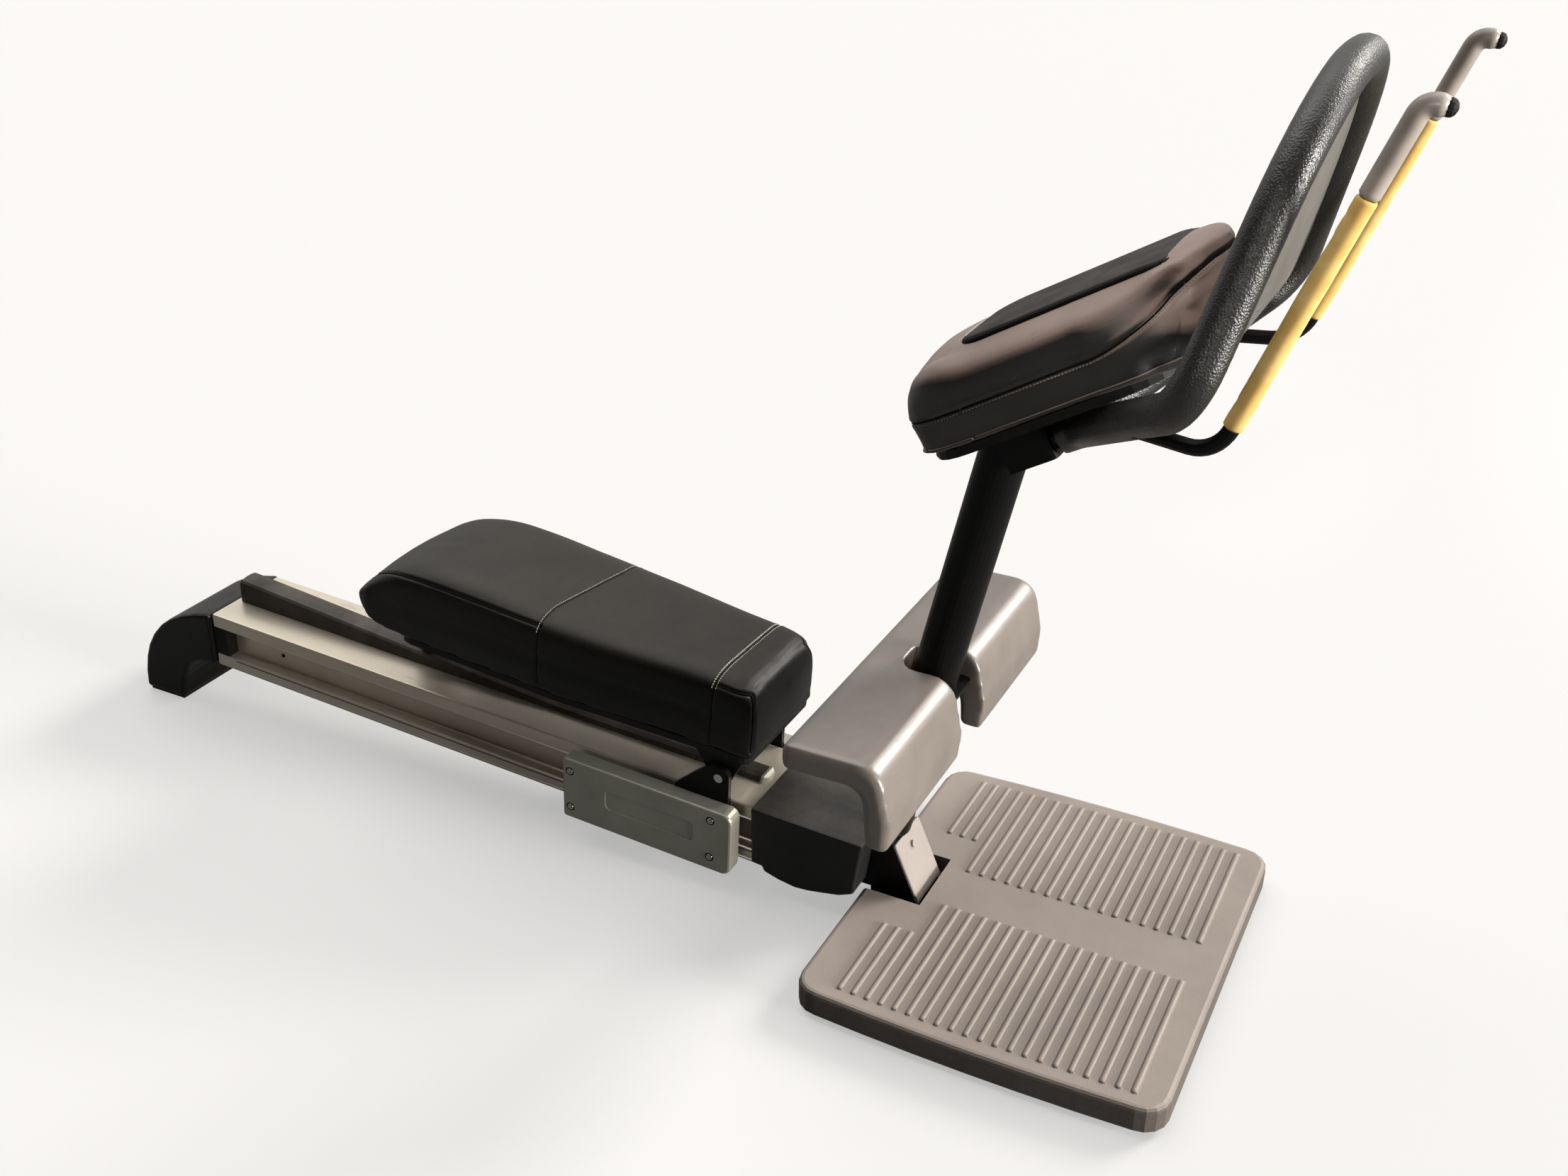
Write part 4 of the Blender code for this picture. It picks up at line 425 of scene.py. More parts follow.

# %% [markdown]
# ### Plastic, paint and metal
#
# The footplate is grey plastic with a spark-eroded mould face: dull, speckled, and dusty between
# its ribs. The covers are satin black. The rail is anodised aluminium, warm in the gym's light, and
# the two side castings of the carriage are painted silver.

# %% Hard finishes
# Its top and edges are painted lighter: partly wear, partly painted sheen and highlight.
plate_plastic = make_finish(
    "grey_footplate", (112, 105, 99), (98, 92, 87), 0.50, ("mould_stipple", 0.0019, 0.35), 0.00030,
    tone=(4.5, 0.6), specular=0.30, spark=(0.25, (178, 168, 157)), sheen_and_wear=(4.5, 0.55, 0.97, (183, 171, 162)),
    edges=(0.0026, 0.3, 0.60, (214, 203, 191)), scuffs=(7.0, 0.16, (176, 167, 156)), dusty=(7.0, 0.20))
panel_plastic = make_finish(
    "grey_panel", (118, 116, 109), (96, 94, 89), 0.38, ("mould_stipple", 0.0022, 0.3), 0.00025,
    tone=(4.0, 0.5), specular=0.4)
# Its top is painted lighter where it faces up: partly wear, partly painted sheen.
black_cover = make_finish(
    "satin_black_cover", (44, 43, 43), (30, 30, 30), 0.36, ("mould_stipple", 0.0012, 0.2), 0.00008,
    tone=(8.0, 0.4), specular=0.25, sheen_and_wear=(8.0, 0.55, 0.95, (62, 60, 58)),
    edges=(0.0012, 0.5, 0.4, (120, 112, 104)), scuffs=(12.0, 0.3, (96, 90, 84)), dusty=(14.0, 0.16))
foot_cover = make_finish(
    "rear_foot_black", (22, 21, 20), (12, 12, 11), 0.34, ("mould_stipple", 0.0016, 0.2), 0.0001,
    tone=(7.0, 0.4), specular=0.2, scuffs=(14.0, 0.25, (92, 86, 80)), dusty=(10.0, 0.14))
black_paint = make_finish(
    "satin_black_paint", (16, 16, 16), (11, 11, 11), 0.36, ("mould_stipple", 0.0022, 0.1), 0.00006,
    tone=(12.0, 0.3), specular=0.15, edges=(0.001, 0.6, 0.3, (120, 116, 110)), dusty=(12.0, 0.05))
black_board = make_finish(
    "black_board", (34, 32, 30), (22, 21, 20), 0.52, ("mould_stipple", 0.002, 0.2), 0.0001, tone=(10.0, 0.4),
    specular=0.2, dusty=(10.0, 0.10))
strip_plastic = make_finish(
    "dark_guide_strip", (72, 66, 58), (50, 46, 41), 0.46, ("drawn_lines", 500.0), 0.00005, tone=(9.0, 0.5),
    specular=0.3, scuffs=(6.0, 0.3, (106, 99, 88)), dusty=(9.0, 0.16))
anodised = make_finish(
    "anodised_aluminium", (226, 217, 199), (208, 199, 182), 0.40, ("drawn_lines", 700.0), 0.00003,
    tone=(3.0, 0.4), metallic=0.5, specular=0.4, edges=(0.0010, 0.3, 0.6, (236, 228, 212)),
    scuffs=(5.0, 0.25, (150, 140, 124)), dusty=(6.0, 0.06))
# Light rods along the edges of the rail's steps: painted highlights.
highlight_paint = make_finish(
    "rail_highlight_paint", (250, 244, 230), (236, 228, 212), 0.42, ("drawn_lines", 700.0), 0.00002, metallic=0.2,
    scuffs=(9.0, 0.3, (150, 140, 124)))
silver_paint = make_finish(
    "silver_casting", (176, 176, 162), (156, 156, 143), 0.36, ("mould_stipple", 0.0014, 0.3), 0.00012,
    tone=(9.0, 0.4), metallic=0.5, spark=(0.12, (210, 210, 200)), edges=(0.0016, 0.4, 0.6, (214, 212, 198)),
    dusty=(9.0, 0.06))
bare_plate = make_finish(
    "brushed_plate", (178, 170, 162), (162, 154, 147), 0.42, ("drawn_lines", 800.0), 0.00003,
    tone=(12.0, 0.3), metallic=0.3, edges=(0.001, 0.4, 0.5, (245, 240, 232)),
    scuffs=(20.0, 0.25, (170, 160, 150)))
bright_steel = make_finish(
    "bright_steel", (214, 212, 208), (190, 188, 184), 0.18, ("drawn_lines", 1500.0), 0.00001,
    tone=(30.0, 0.3), metallic=1.0)
rubber = make_finish(
    "black_rubber", (30, 30, 30), (20, 20, 20), 0.62, ("mould_stipple", 0.0011, 0.2), 0.0001,
    tone=(18.0, 0.4), specular=0.2, dusty=(20.0, 0.12))
yellow_tab = make_finish(
    "yellow_tab", (215, 176, 70), (180, 142, 46), 0.5, ("mould_stipple", 0.0012, 0.2), 0.00005,
    tone=(60.0, 0.4), specular=0.4)
print("materials:", len(bpy.data.materials))

# %% [markdown]
# ## Give each solid its finish
#
# A solid from the CAD model keeps its shape. Its object has material slots, and putting our
# material in every slot is all that is needed. Names decide the finish, so a left and a right piece
# never differ. A small bevel modifier rounds the machined edges, because no real edge is perfectly
# sharp and the thin highlight it gives is most of what makes metal look like metal.

# %% Finishes and bevels by name
FINISH_OF = {}
for finish, names in (
        (black_paint, "column shin_bracket base_frame carriage_ear carriage_cross_plate seat_lug seat_fork"),
        (black_paint, "handle_tube loop_tube"),
        (rubber, "footplate_foot rear_foot_pad rail_plug carriage_roller seat_roller handle_cap"),
        (bright_steel, "carriage_axle pivot_pin seat_roller_axle"), (anodised, "rail"),
        (silver_paint, "carriage_plate ramp_end_cap"), (bare_plate, "pedestal_plate pedestal_bolt"),
        (black_board, "chest_board seat_board"), (strip_plastic, "ramp_strip"),
        (black_cover, "front_housing"), (foot_cover, "rear_foot"), (plate_plastic, "footplate"),
        (panel_plastic, "loop_panel"),
        (sleeve_skin, "handle_sleeve"), (yellow_tab, "seat_tab"), (leather, "seat_pad"),
        (pad_leather, "chest_pad"), (inlay_leather, "chest_inlay"), (loop_skin, "loop_foam"),
        (shin_skin, "shin_pad"), (grip_foam, "handle_grip")):
    FINISH_OF.update(dict.fromkeys(names.split(), finish))
BEVEL_OF = {}
for width, names in ((0.0006, "rail seat_lug seat_fork ramp_strip rail_plug"), (0.0012, "carriage_plate"),
                     (0.0008, "carriage_ear shin_bracket base_frame chest_board seat_board column_head"),
                     (0.0020, "front_housing"), (0.0035, "rear_foot")):
    BEVEL_OF.update(dict.fromkeys(names.split(), width))
ROUNDED = ("footplate", "rear_foot", "front_housing")
ROUND_UNDER, BEVEL_OVER = math.radians(34.0), math.radians(40.0)


def longest_match(name, table):
    """The value whose key is the longest beginning of a node's name."""
    return table.get(max((key for key in table if name.startswith(key)), key=len, default=None))


print("names with a bevel:", len(BEVEL_OF))

# %% [markdown]
# The moulded pieces have rounded corners that the CAD mesh shows as flat strips. A little geometry
# node group smooths every edge that bends less than 34 degrees and keeps the real ones sharp. The
# mesh keeps its shape: only the way it is shaded changes.

# %% Finish the solids
smoother = bpy.data.node_groups.new("smooth_by_angle", "GeometryNodeTree")
for direction in ("INPUT", "OUTPUT"):
    smoother.interface.new_socket("Geometry", in_out=direction, socket_type="NodeSocketGeometry")
angle = smoother.nodes.new("GeometryNodeInputMeshEdgeAngle").outputs["Unsigned Angle"]
soft = place_node(smoother, "FunctionNodeCompare", {0: angle, 1: ROUND_UNDER}, data_type="FLOAT",
                  operation="LESS_THAN").outputs[0]
mesh = smoother.nodes.new("NodeGroupInput").outputs[0]
faces = place_node(smoother, "GeometryNodeSetShadeSmooth", {0: mesh}, domain="FACE").outputs[0]
edges = place_node(smoother, "GeometryNodeSetShadeSmooth", {0: faces, 2: soft}, domain="EDGE").outputs[0]
smoother.links.new(edges, smoother.nodes.new("NodeGroupOutput").inputs[0])

for name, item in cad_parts.items():
    if name in ROUNDED:
        item.modifiers.new("smooth_by_angle", "NODES").node_group = smoother
        item.modifiers.new("even_normals", "WEIGHTED_NORMAL").keep_sharp = True
    for slot in item.material_slots:
        slot.link = "OBJECT"
        slot.material = longest_match(name, FINISH_OF)
    if longest_match(name, BEVEL_OF):
        rounding = item.modifiers.new("edge_rounding", "BEVEL")
        rounding.width = longest_match(name, BEVEL_OF)
        rounding.segments = 2
        rounding.limit_method = "ANGLE"
        rounding.angle_limit = BEVEL_OVER
        rounding.harden_normals = True
print("solids finished:", len(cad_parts))

# %% [markdown]
# ## Stuffed pieces
#
# A cushion is foam inside a sewn cover, and the foam pushes the cover out: faces crown, sides pull
# in towards the seams. Modelling that by hand rarely looks right, so the cover is simulated. The
# recipe: copy the solid, remesh it into small even squares, shrink it a little, and let Cloth blow
# it up with inner pressure and no gravity. The board side is pinned, because it lies flat on wood.
# A cap on how far a point may travel keeps the cushion in the space that its solid holds.


# %% Copy, remesh and measure
def link_mesh(name, mesh):
    """A new object with this mesh, in the scene."""
    item = bpy.data.objects.new(name, mesh)
    bpy.context.scene.collection.objects.link(item)
    return item


def apply_modifiers(item):
    """Turns what the modifiers show into the object's own mesh."""
    bpy.context.view_layer.update()
    shown = item.evaluated_get(bpy.context.evaluated_depsgraph_get())
    made = bpy.data.meshes.new_from_object(shown)
    old = item.data
    item.modifiers.clear()
    item.data = made
    bpy.data.meshes.remove(old)


def read_triples(mesh, what):
    """One vector per corner of a mesh, as one array: "co" for places, "normal" for normals."""
    flat = np.empty(len(mesh.vertices) * 3, dtype=np.float32)
    mesh.vertices.foreach_get(what, flat)
    return flat.reshape(-1, 3).astype(float)


def put_points(item, points):
    """Moves the corners of a piece to new places."""
    item.data.vertices.foreach_set("co", np.ascontiguousarray(points, dtype=np.float32).ravel())
    item.data.update()


def soft_copy(name, node, voxel, smoothing):
    """A copy of a solid in small even squares, with its hard ridges smoothed."""
    item = link_mesh(name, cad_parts[node].data.copy())
    remesh = item.modifiers.new("squares", "REMESH")
    remesh.mode = "VOXEL"
    remesh.voxel_size = voxel
    remesh.use_smooth_shade = True
    soften = item.modifiers.new("soften", "SMOOTH")
    soften.factor = 0.5
    soften.iterations = smoothing
    apply_modifiers(item)
    item.data.materials.clear()
    print(name, "has", len(item.data.vertices), "points")
    return item


def measured_in(place, points):
    """World points as along, side and high in one of the sloping frames."""
    axes = [heading(place, 1.0, 0.0, 0.0), heading(place, 0.0, 1.0, 0.0), heading(place, 0.0, 0.0, 1.0)]
    return (points - np.array(place(0.0, 0.0, 0.0))) @ np.array(axes).T


def ease(values, low, high):
    """0 below low, 1 above high, with a soft way between."""
    share = np.clip((values - low) / (high - low), 0.0, 1.0)
    return share * share * (3.0 - 2.0 * share)


def even_out(item, values, rounds):
    """Averages a vector per point with those of its neighbours, round after round."""
    ends = np.empty(2 * len(item.data.edges), dtype=np.int32)
    item.data.edges.foreach_get("vertices", ends)
    one, two = ends[::2], ends[1::2]
    size = len(values)
    count = np.maximum(np.bincount(ends, minlength=size), 1)[:, None]
    for _ in range(rounds):
        total = np.stack([np.bincount(one, row[two], size) + np.bincount(two, row[one], size)
                          for row in values.T], axis=1)
        values = 0.5 * values + 0.5 * total / count
    return values


def subdivide(item):
    """Splits every face in four and rounds the result."""
    finer = item.modifiers.new("finer", "SUBSURF")
    finer.levels = finer.render_levels = 1
    apply_modifiers(item)


print("mesh tools ready")

# %% [markdown]
# Inner pressure swells a cover, and it puckers it as well. Taut leather over firm foam hardly does.
# So the movement is averaged into a broad swelling, and only a share of the small creases is kept.

# %% Blow a cover up
CLOTH_FRAMES = 20
CLOTH_PRESSURE = 4.0
COVER_SHRUNK = 0.002         # how much smaller the cover starts, to leave room for the swelling
COVER_CAP = 0.006            # how far a point may travel
CREASE_REACH = 60            # rounds of averaging that tell a broad swelling from a crease
HELD_BELOW, FREE_ABOVE = 0.004, 0.022           # above the board: pinned up to here, free from there
SLICE = 0.010                # how long the cross-sections are that square_up compares
FADE_INNER, FADE_REAR, FADE_FRONT = 0.02, 0.08, 0.05        # where square_up fades out


def blow_up(item, held, creases):
    """Simulates a cover under inner pressure. held is 1 where a point is pinned, 0 where it is free."""
    start = read_triples(item.data, "co")
    pins = item.vertex_groups.new(name="pins")
    for index in np.nonzero(held > 0.01)[0]:
        pins.add([int(index)], float(held[index]), "REPLACE")
    cloth = item.modifiers.new("cover", "CLOTH")
    for key, value in (("vertex_group_mass", "pins"), ("use_pressure", True), ("quality", 4), ("mass", 0.3),
                       ("uniform_pressure_force", CLOTH_PRESSURE), ("tension_stiffness", 15.0),
                       ("compression_stiffness", 15.0), ("bending_stiffness", 2.0)):
        setattr(cloth.settings, key, value)
    cloth.settings.effector_weights.gravity = 0.0
    cloth.collision_settings.use_collision = False
    cloth.point_cache.frame_start = 1
    cloth.point_cache.frame_end = CLOTH_FRAMES
    for step in range(1, CLOTH_FRAMES + 1):
        bpy.context.scene.frame_set(step)
    swollen = item.evaluated_get(bpy.context.evaluated_depsgraph_get())
    moved = read_triples(swollen.to_mesh(), "co") - start
    swollen.to_mesh_clear()
    item.modifiers.clear()
    item.vertex_groups.clear()
    bpy.context.scene.frame_set(1)
    broad = even_out(item, moved, CREASE_REACH)
    moved = broad + (even_out(item, moved, 3) - broad) * creases
    length = np.linalg.norm(moved, axis=1)
    kept = COVER_CAP * np.tanh(length / COVER_CAP) / np.maximum(length, 1e-9)
    put_points(item, start + moved * (kept * (1.0 - held))[:, None])
    print(item.name, "swelled by", round(1000.0 * float(np.mean(length * kept)), 1), "mm on average")


def cover_cushion(name, node, place, board_level, voxel, creases, smoothing):
    """A stuffed piece in the place of its solid, pinned where it meets its board."""
    item = soft_copy(name, node, voxel, smoothing)
    points = read_triples(item.data, "co")
    held = 1.0 - ease(measured_in(place, points)[:, 2], board_level + HELD_BELOW, board_level + FREE_ABOVE)
    put_points(item, points - read_triples(item.data, "normal") * (COVER_SHRUNK * (1.0 - held))[:, None])
    blow_up(item, held, creases)
    subdivide(item)
    return item


def square_up(item, place, low, power, ends, inner):
    """Fills a cushion's rounded top edges out towards a box.

    Above the level low each cross-section is pushed out to a superellipse: power 2 would be an
    ellipse, and a high power a box. Its width and height stay. inner keeps the middle as it is.
    """
    points = read_triples(item.data, "co")
    along, side, high = measured_in(place, points).T
    marks = np.arange(along.min(), along.max() + SLICE, SLICE)
    bin_of = np.clip(np.digitize(along, marks) - 1, 0, len(marks) - 1)
    half, top = np.zeros(len(marks)), np.full(len(marks), low + 0.001)
    np.maximum.at(half, bin_of, np.abs(side))
    np.maximum.at(top, bin_of, high)
    weights = np.array([1.0, 2.0, 3.0, 2.0, 1.0]) / 9.0
    half, top = [np.convolve(np.pad(row, 2, mode="edge"), weights, mode="valid") for row in (half, top)]
    half, top = [np.interp(along, marks + SLICE / 2.0, row) for row in (half, top)]
    wide = np.abs(side) / np.maximum(half, 0.01)
    tall = np.clip((high - low) / np.maximum(top - low, 0.01), 0.0, 2.0)
    reach = (np.clip(wide, 0.0, 2.0) ** power + tall ** power) ** (1.0 / power)
    share = ease(tall, 0.0, 0.3) * ease(np.abs(side), inner, inner + FADE_INNER)
    share *= ease(along, ends[0], ends[0] + FADE_REAR) * (1.0 - ease(along, ends[1] - FADE_FRONT, ends[1]))
    grow = (np.clip(1.0 / np.maximum(reach, 0.5), 1.0, 1.2) - 1.0) * share
    points += np.outer(side * grow, heading(place, 0.0, 1.0, 0.0))
    points += np.outer((high - low) * grow, heading(place, 0.0, 0.0, 1.0))
    put_points(item, points)
    most = float((np.abs(high - low) * grow).max())
    print(item.name, "edges filled out by", round(1000.0 * most, 1), "mm at most")


# %% [markdown]
# ### The seat
#
# The seat pad is a long cushion that rolls down to a thin nose at the rear. It is swollen from its
# solid, and its board side stays flat. Remeshing and swelling round its top edges off more than the
# real seat's, so these are filled out again towards a box.

# %% The seat pad
SEAT_BOARD_LEVEL = 0.066
seat = cover_cushion("seat_cushion", "seat_pad", seat_place, SEAT_BOARD_LEVEL,
                     voxel=0.006, creases=0.08, smoothing=3)
square_up(seat, seat_place, low=0.120, power=5.5, ends=(-0.70, 0.075), inner=0.0)
seat.data.materials.append(leather)
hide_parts("seat_pad")
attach(seat, "seat")

# %% [markdown]
# ### How a seam is made
#
# Where two panels of leather meet, the cover dips, the dip shows as a dark line of shade, and a row
# of stitches may run beside it. So a seam here has three parts. First a path is traced on the
# cushion, by casting rays from inside it outwards. Then the points near the path are pressed in,
# which makes the dip. Last, a thin black cord is laid in the dip as painted shade, and small
# stitches are set along it.


# %% Trace, press and stitch
def surface_of(item):
    """A tree that finds where a ray meets a piece."""
    bm = bmesh.new()
    bm.from_mesh(item.data)
    tree = BVHTree.FromBMesh(bm)
    bm.free()
    return tree


def trace(tree, place, casts):
    """Points and normals where rays from inside meet the cover. A cast is (origin, direction)."""
    found = []
    for origin, direction in casts:
        ahead = heading(place, *direction)
        spot, normal, _, _ = tree.ray_cast(place(*origin), ahead)
        if spot is not None:
            found.append((spot, normal if normal.dot(ahead) > 0.0 else -normal))
    return found


def even_steps(path, step):
    """The same path with its points a fixed step apart."""
    spots = [spot for spot, _ in path]
    lengths = [0.0]
    for before, after in zip(spots, spots[1:]):
        lengths.append(lengths[-1] + (after - before).length)
    made = []
    index = 0
    for count in range(int(lengths[-1] / step) + 1):
        along = count * step
        while index < len(lengths) - 2 and lengths[index + 1] < along:
            index += 1
        gap = max(lengths[index + 1] - lengths[index], 1e-9)
        share = min(max((along - lengths[index]) / gap, 0.0), 1.0)
        made.append((spots[index].lerp(spots[index + 1], share),
                     path[index][1].lerp(path[index + 1][1], share).normalized()))
    return made


DIP_ENDS = 4.0               # a dip has faded out this many reaches from its path
SWELL_AT, SWELL_SHARE = 1.9, 0.25               # where the cover swells beside a dip, and how much


def press(item, paths, depth, reach):
    """Presses a dip along some paths. The cover swells a little beside it."""
    dense = [pair for path in paths for pair in even_steps(path, 0.0015)]
    finder = KDTree(len(dense))
    for index, (spot, _) in enumerate(dense):
        finder.insert(spot, index)
    finder.balance()
    points, normals = [read_triples(item.data, what) for what in ("co", "normal")]
    track = np.array([spot for spot, _ in dense])
    low, high = track.min(axis=0) - DIP_ENDS * reach, track.max(axis=0) + DIP_ENDS * reach
    for index in np.nonzero(np.all((points > low) & (points < high), axis=1))[0]:
        _, _, away = finder.find(points[index])
        if away < DIP_ENDS * reach:
            ratio = away / reach
            sink = math.exp(-ratio * ratio) - SWELL_SHARE * math.exp(-(ratio - SWELL_AT) ** 2)
            points[index] -= normals[index] * depth * sink
    put_points(item, points)


def circle(centre, across, above, radius, sides):
    """Points round a centre, in the plane of across and above. radius may be a function of the angle."""
    points = []
    for turn in (2.0 * math.pi * index / sides for index in range(sides)):
        reach = radius(turn) if callable(radius) else radius
        points.append(centre + (across * math.cos(turn) + above * math.sin(turn)) * reach)
    return points


def skin_rings(bm, rings):
    """Joins rings of equal length with quads, and closes both ends."""
    rows = [[bm.verts.new(spot) for spot in ring] for ring in rings]
    for one, two in zip(rows, rows[1:]):
        for index in range(len(one)):
            after = (index + 1) % len(one)
            bm.faces.new((one[index], one[after], two[after], two[index]))
    bm.faces.new(list(reversed(rows[0])))
    bm.faces.new(rows[-1])


def finish_mesh(name, bm, material, body, smooth=True):
    """Makes an object of a built mesh, with its finish, body and slot."""
    bmesh.ops.recalc_face_normals(bm, faces=bm.faces)
    mesh = bpy.data.meshes.new(name)
    bm.to_mesh(mesh)
    bm.free()
    for face in mesh.polygons:
        face.use_smooth = smooth
    mesh.materials.append(material)
    item = link_mesh(name, mesh)
    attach(item, body)
    return item


def lay_cord(bm, path, radius, lift, step=0.003, sides=8):
    """A thin cord along a path, lifted off the surface by lift or sunk if lift is negative."""
    track = [spot + normal * lift for spot, normal in even_steps(path, step)]
    rings = []
    for index, spot in enumerate(track):
        ahead = (track[min(index + 1, len(track) - 1)] - track[max(index - 1, 0)]).normalized()
        across = ahead.orthogonal().cross(ahead).normalized()
        rings.append(circle(spot, across, ahead.cross(across).normalized(), radius, sides))
    skin_rings(bm, rings)


# How far along a stitch, how thick and how high, as shares of its length and radius.
STITCH_SHAPE = ((0.0, 0.45, -0.9), (0.18, 0.9, 0.2), (0.5, 1.0, 0.6), (0.82, 0.9, 0.2), (1.0, 0.45, -0.9))


def set_stitches(bm, path, beside, pitch, length, radius, lift):
    """A row of small stitches beside a path. Each one is a little arched bar that dives in at its ends."""
    track = even_steps(path, pitch)
    for (spot, normal), (after, _) in zip(track, track[1:]):
        ahead = (after - spot).normalized()
        across = normal.cross(ahead).normalized()
        start = spot + across * beside + normal * lift
        skin_rings(bm, [circle(start + ahead * (share * length) + normal * (high * radius), across, normal,
                               radius * size, 6) for share, size, high in STITCH_SHAPE])


print("seam tools ready")

# %% [markdown]
# ### Threads
#
# Two threads are used. The seat's front seam has a light topstitch that catches the light. Its rear
# seam and the upper pad's side seam have a darker grey one. The dip itself gets a near-black cord:
# painted shade.

# %% Threads, and the black of painted shade
light_thread = make_finish(
    "light_thread", (250, 246, 238), (220, 214, 204), 0.6, ("drawn_lines", 2500.0), 0.00005,
    tone=(140.0, 0.5), specular=0.3)
grey_thread = make_finish(
    "grey_thread", (176, 169, 158), (136, 130, 121), 0.6, ("drawn_lines", 2500.0), 0.00005,
    tone=(140.0, 0.5), specular=0.3)
# Near black, for painted shade: in seam dips, round the insert, in screw sockets and along the rail.
painted_shade_black = make_finish(
    "shade_black_paint", (16, 15, 15), (9, 9, 9), 0.7, ("leather_grain", 0.0012), 0.00005, tone=(60.0, 0.3),
    specular=0.15)
print("threads:", light_thread.name, grey_thread.name, "joint:", painted_shade_black.name)

# %% [markdown]
# ### The seat's seams
#
# Two seams cross the seat, a little askew, as hand-sewn covers are. Behind the rear one, the top
# panel is cut separately from the sides, so a seam runs along each top edge and dies away at the
# nose. In front of the other one, a cap is sewn on: its side seams run forward along the edge and
# turn down at the front corners.

# %% Seat seam paths
SEAT_SEAM_REAR = (-0.328, -0.300)      # where the seams meet the near and the far side
SEAT_SEAM_FRONT = (-0.014, -0.010)
SEAT_NOSE = -0.712
HOOP_LOW_REAR, HOOP_LOW_FRONT = 0.080, 0.072
SEAT_CORE = 0.112            # a level that is inside the pad from nose to front
HOOP_CORE = 0.125            # the level from which a hoop turns over the top edge
CORE_INSET = 0.055           # how far inside the pad's side the casts start
EDGE_TILT = math.radians(59.0)
CORNER_ALONG, CORNER_INSET = 0.016, 0.050
CORNER_SWING = math.radians(46.0)
EDGE_STEPS, CORNER_TURN = 60, 24
CAP_DROP = 0.036             # how far the cap's side seams run down at the front corners
seat_tree = surface_of(seat)


def seat_half(along):
    """How far the seat's side is from the middle, measured at core level."""
    spot, _, _, _ = seat_tree.ray_cast(seat_place(along, 0.0, SEAT_CORE), Vector((0.0, 1.0, 0.0)))
    return spot.y if spot is not None else 0.1


def seat_hoop(near, far, low):
    """Casts for a seam up the near side, over the top and down the far side."""
    casts = []
    for side, along_end in ((-1, near), (1, far)):
        middle = (near + far) / 2.0
        half = seat_half(along_end) - CORE_INSET
        climb = [((along_end, side * half, low + (HOOP_CORE - low) * step / 8.0), (0.0, side, 0.0))
                 for step in range(9)]
        climb += [((along_end, side * half, HOOP_CORE), (0.0, side * math.cos(turn), math.sin(turn)))
                  for turn in (math.pi / 2.0 * step / 14.0 for step in range(1, 14))]
        climb += [((along_end + (middle - along_end) * step / 10.0,
                    side * half * (1.0 - step / 10.0), HOOP_CORE), (0.0, 0.0, 1.0)) for step in range(11)]
        casts += climb if side < 0 else list(reversed(climb[:-1]))
    return casts


def rear_edge(start, side):
    """Casts for a seam along one of the top edges, from the rear seam to the nose."""
    outward = (0.0, side * math.cos(EDGE_TILT), math.sin(EDGE_TILT))
    casts = []
    for step in range(EDGE_STEPS + 1):
        along = start + (SEAT_NOSE - start) * step / EDGE_STEPS
        casts.append(((along, side * max(seat_half(along) - CORE_INSET, 0.02), SEAT_CORE), outward))
    return casts


def cap_edge(start, side):
    """Casts for the cap's seam: forward along the edge, round the corner and down."""
    half = seat_half(CORNER_ALONG) - CORNER_INSET
    casts = [((start + (CORNER_ALONG - start) * step / 6.0, side * half, SEAT_CORE),
              (0.0, side * math.cos(EDGE_TILT), math.sin(EDGE_TILT))) for step in range(7)]
    for step in range(1, CORNER_TURN + 1):
        share = step / CORNER_TURN
        swing = CORNER_SWING * min(share * 2.0, 1.0)
        tilt = EDGE_TILT * min(1.0, 2.0 * (1.0 - share)) ** 0.8
        flat = math.cos(tilt)
        casts.append(((CORNER_ALONG, side * half, SEAT_CORE),
                      (math.sin(swing) * flat, side * math.cos(swing) * flat, math.sin(tilt))))
    return casts + [((CORNER_ALONG, side * half, SEAT_CORE - CAP_DROP * step / 6.0),
                     (math.sin(CORNER_SWING), side * math.cos(CORNER_SWING), 0.0)) for step in range(1, 7)]


rear_hoop, front_hoop = [trace(seat_tree, seat_place, seat_hoop(*ends, low)) for ends, low in
                         ((SEAT_SEAM_REAR, HOOP_LOW_REAR), (SEAT_SEAM_FRONT, HOOP_LOW_FRONT))]
edge_seams = [trace(seat_tree, seat_place, casts_for(start, side))
              for casts_for, starts in ((rear_edge, SEAT_SEAM_REAR), (cap_edge, SEAT_SEAM_FRONT))
              for start, side in zip(starts, (-1, 1))]
print("seat seams:", len(rear_hoop), len(front_hoop), [len(path) for path in edge_seams])

# %% [markdown]
# The paths were traced before the dips are pressed in, so cords and stitches are sunk a little. The
# stitches catch the light, so they run only where the seam faces up.

# %% Press and sew the seat
STITCHED_ABOVE = 0.30        # the least upward part of the seam's normal
press(seat, [rear_hoop, front_hoop], depth=0.0016, reach=0.0034)
press(seat, edge_seams, depth=0.0020, reach=0.0032)
bm = bmesh.new()
# Black cords in the seam dips: painted shade.
for path in edge_seams:
    lay_cord(bm, path, radius=0.0013, lift=-0.0012)
lay_cord(bm, rear_hoop, radius=0.0007, lift=-0.0013)
lay_cord(bm, front_hoop, radius=0.0009, lift=-0.0013)
finish_mesh("seat_seam_painted_shades", bm, painted_shade_black, "seat")
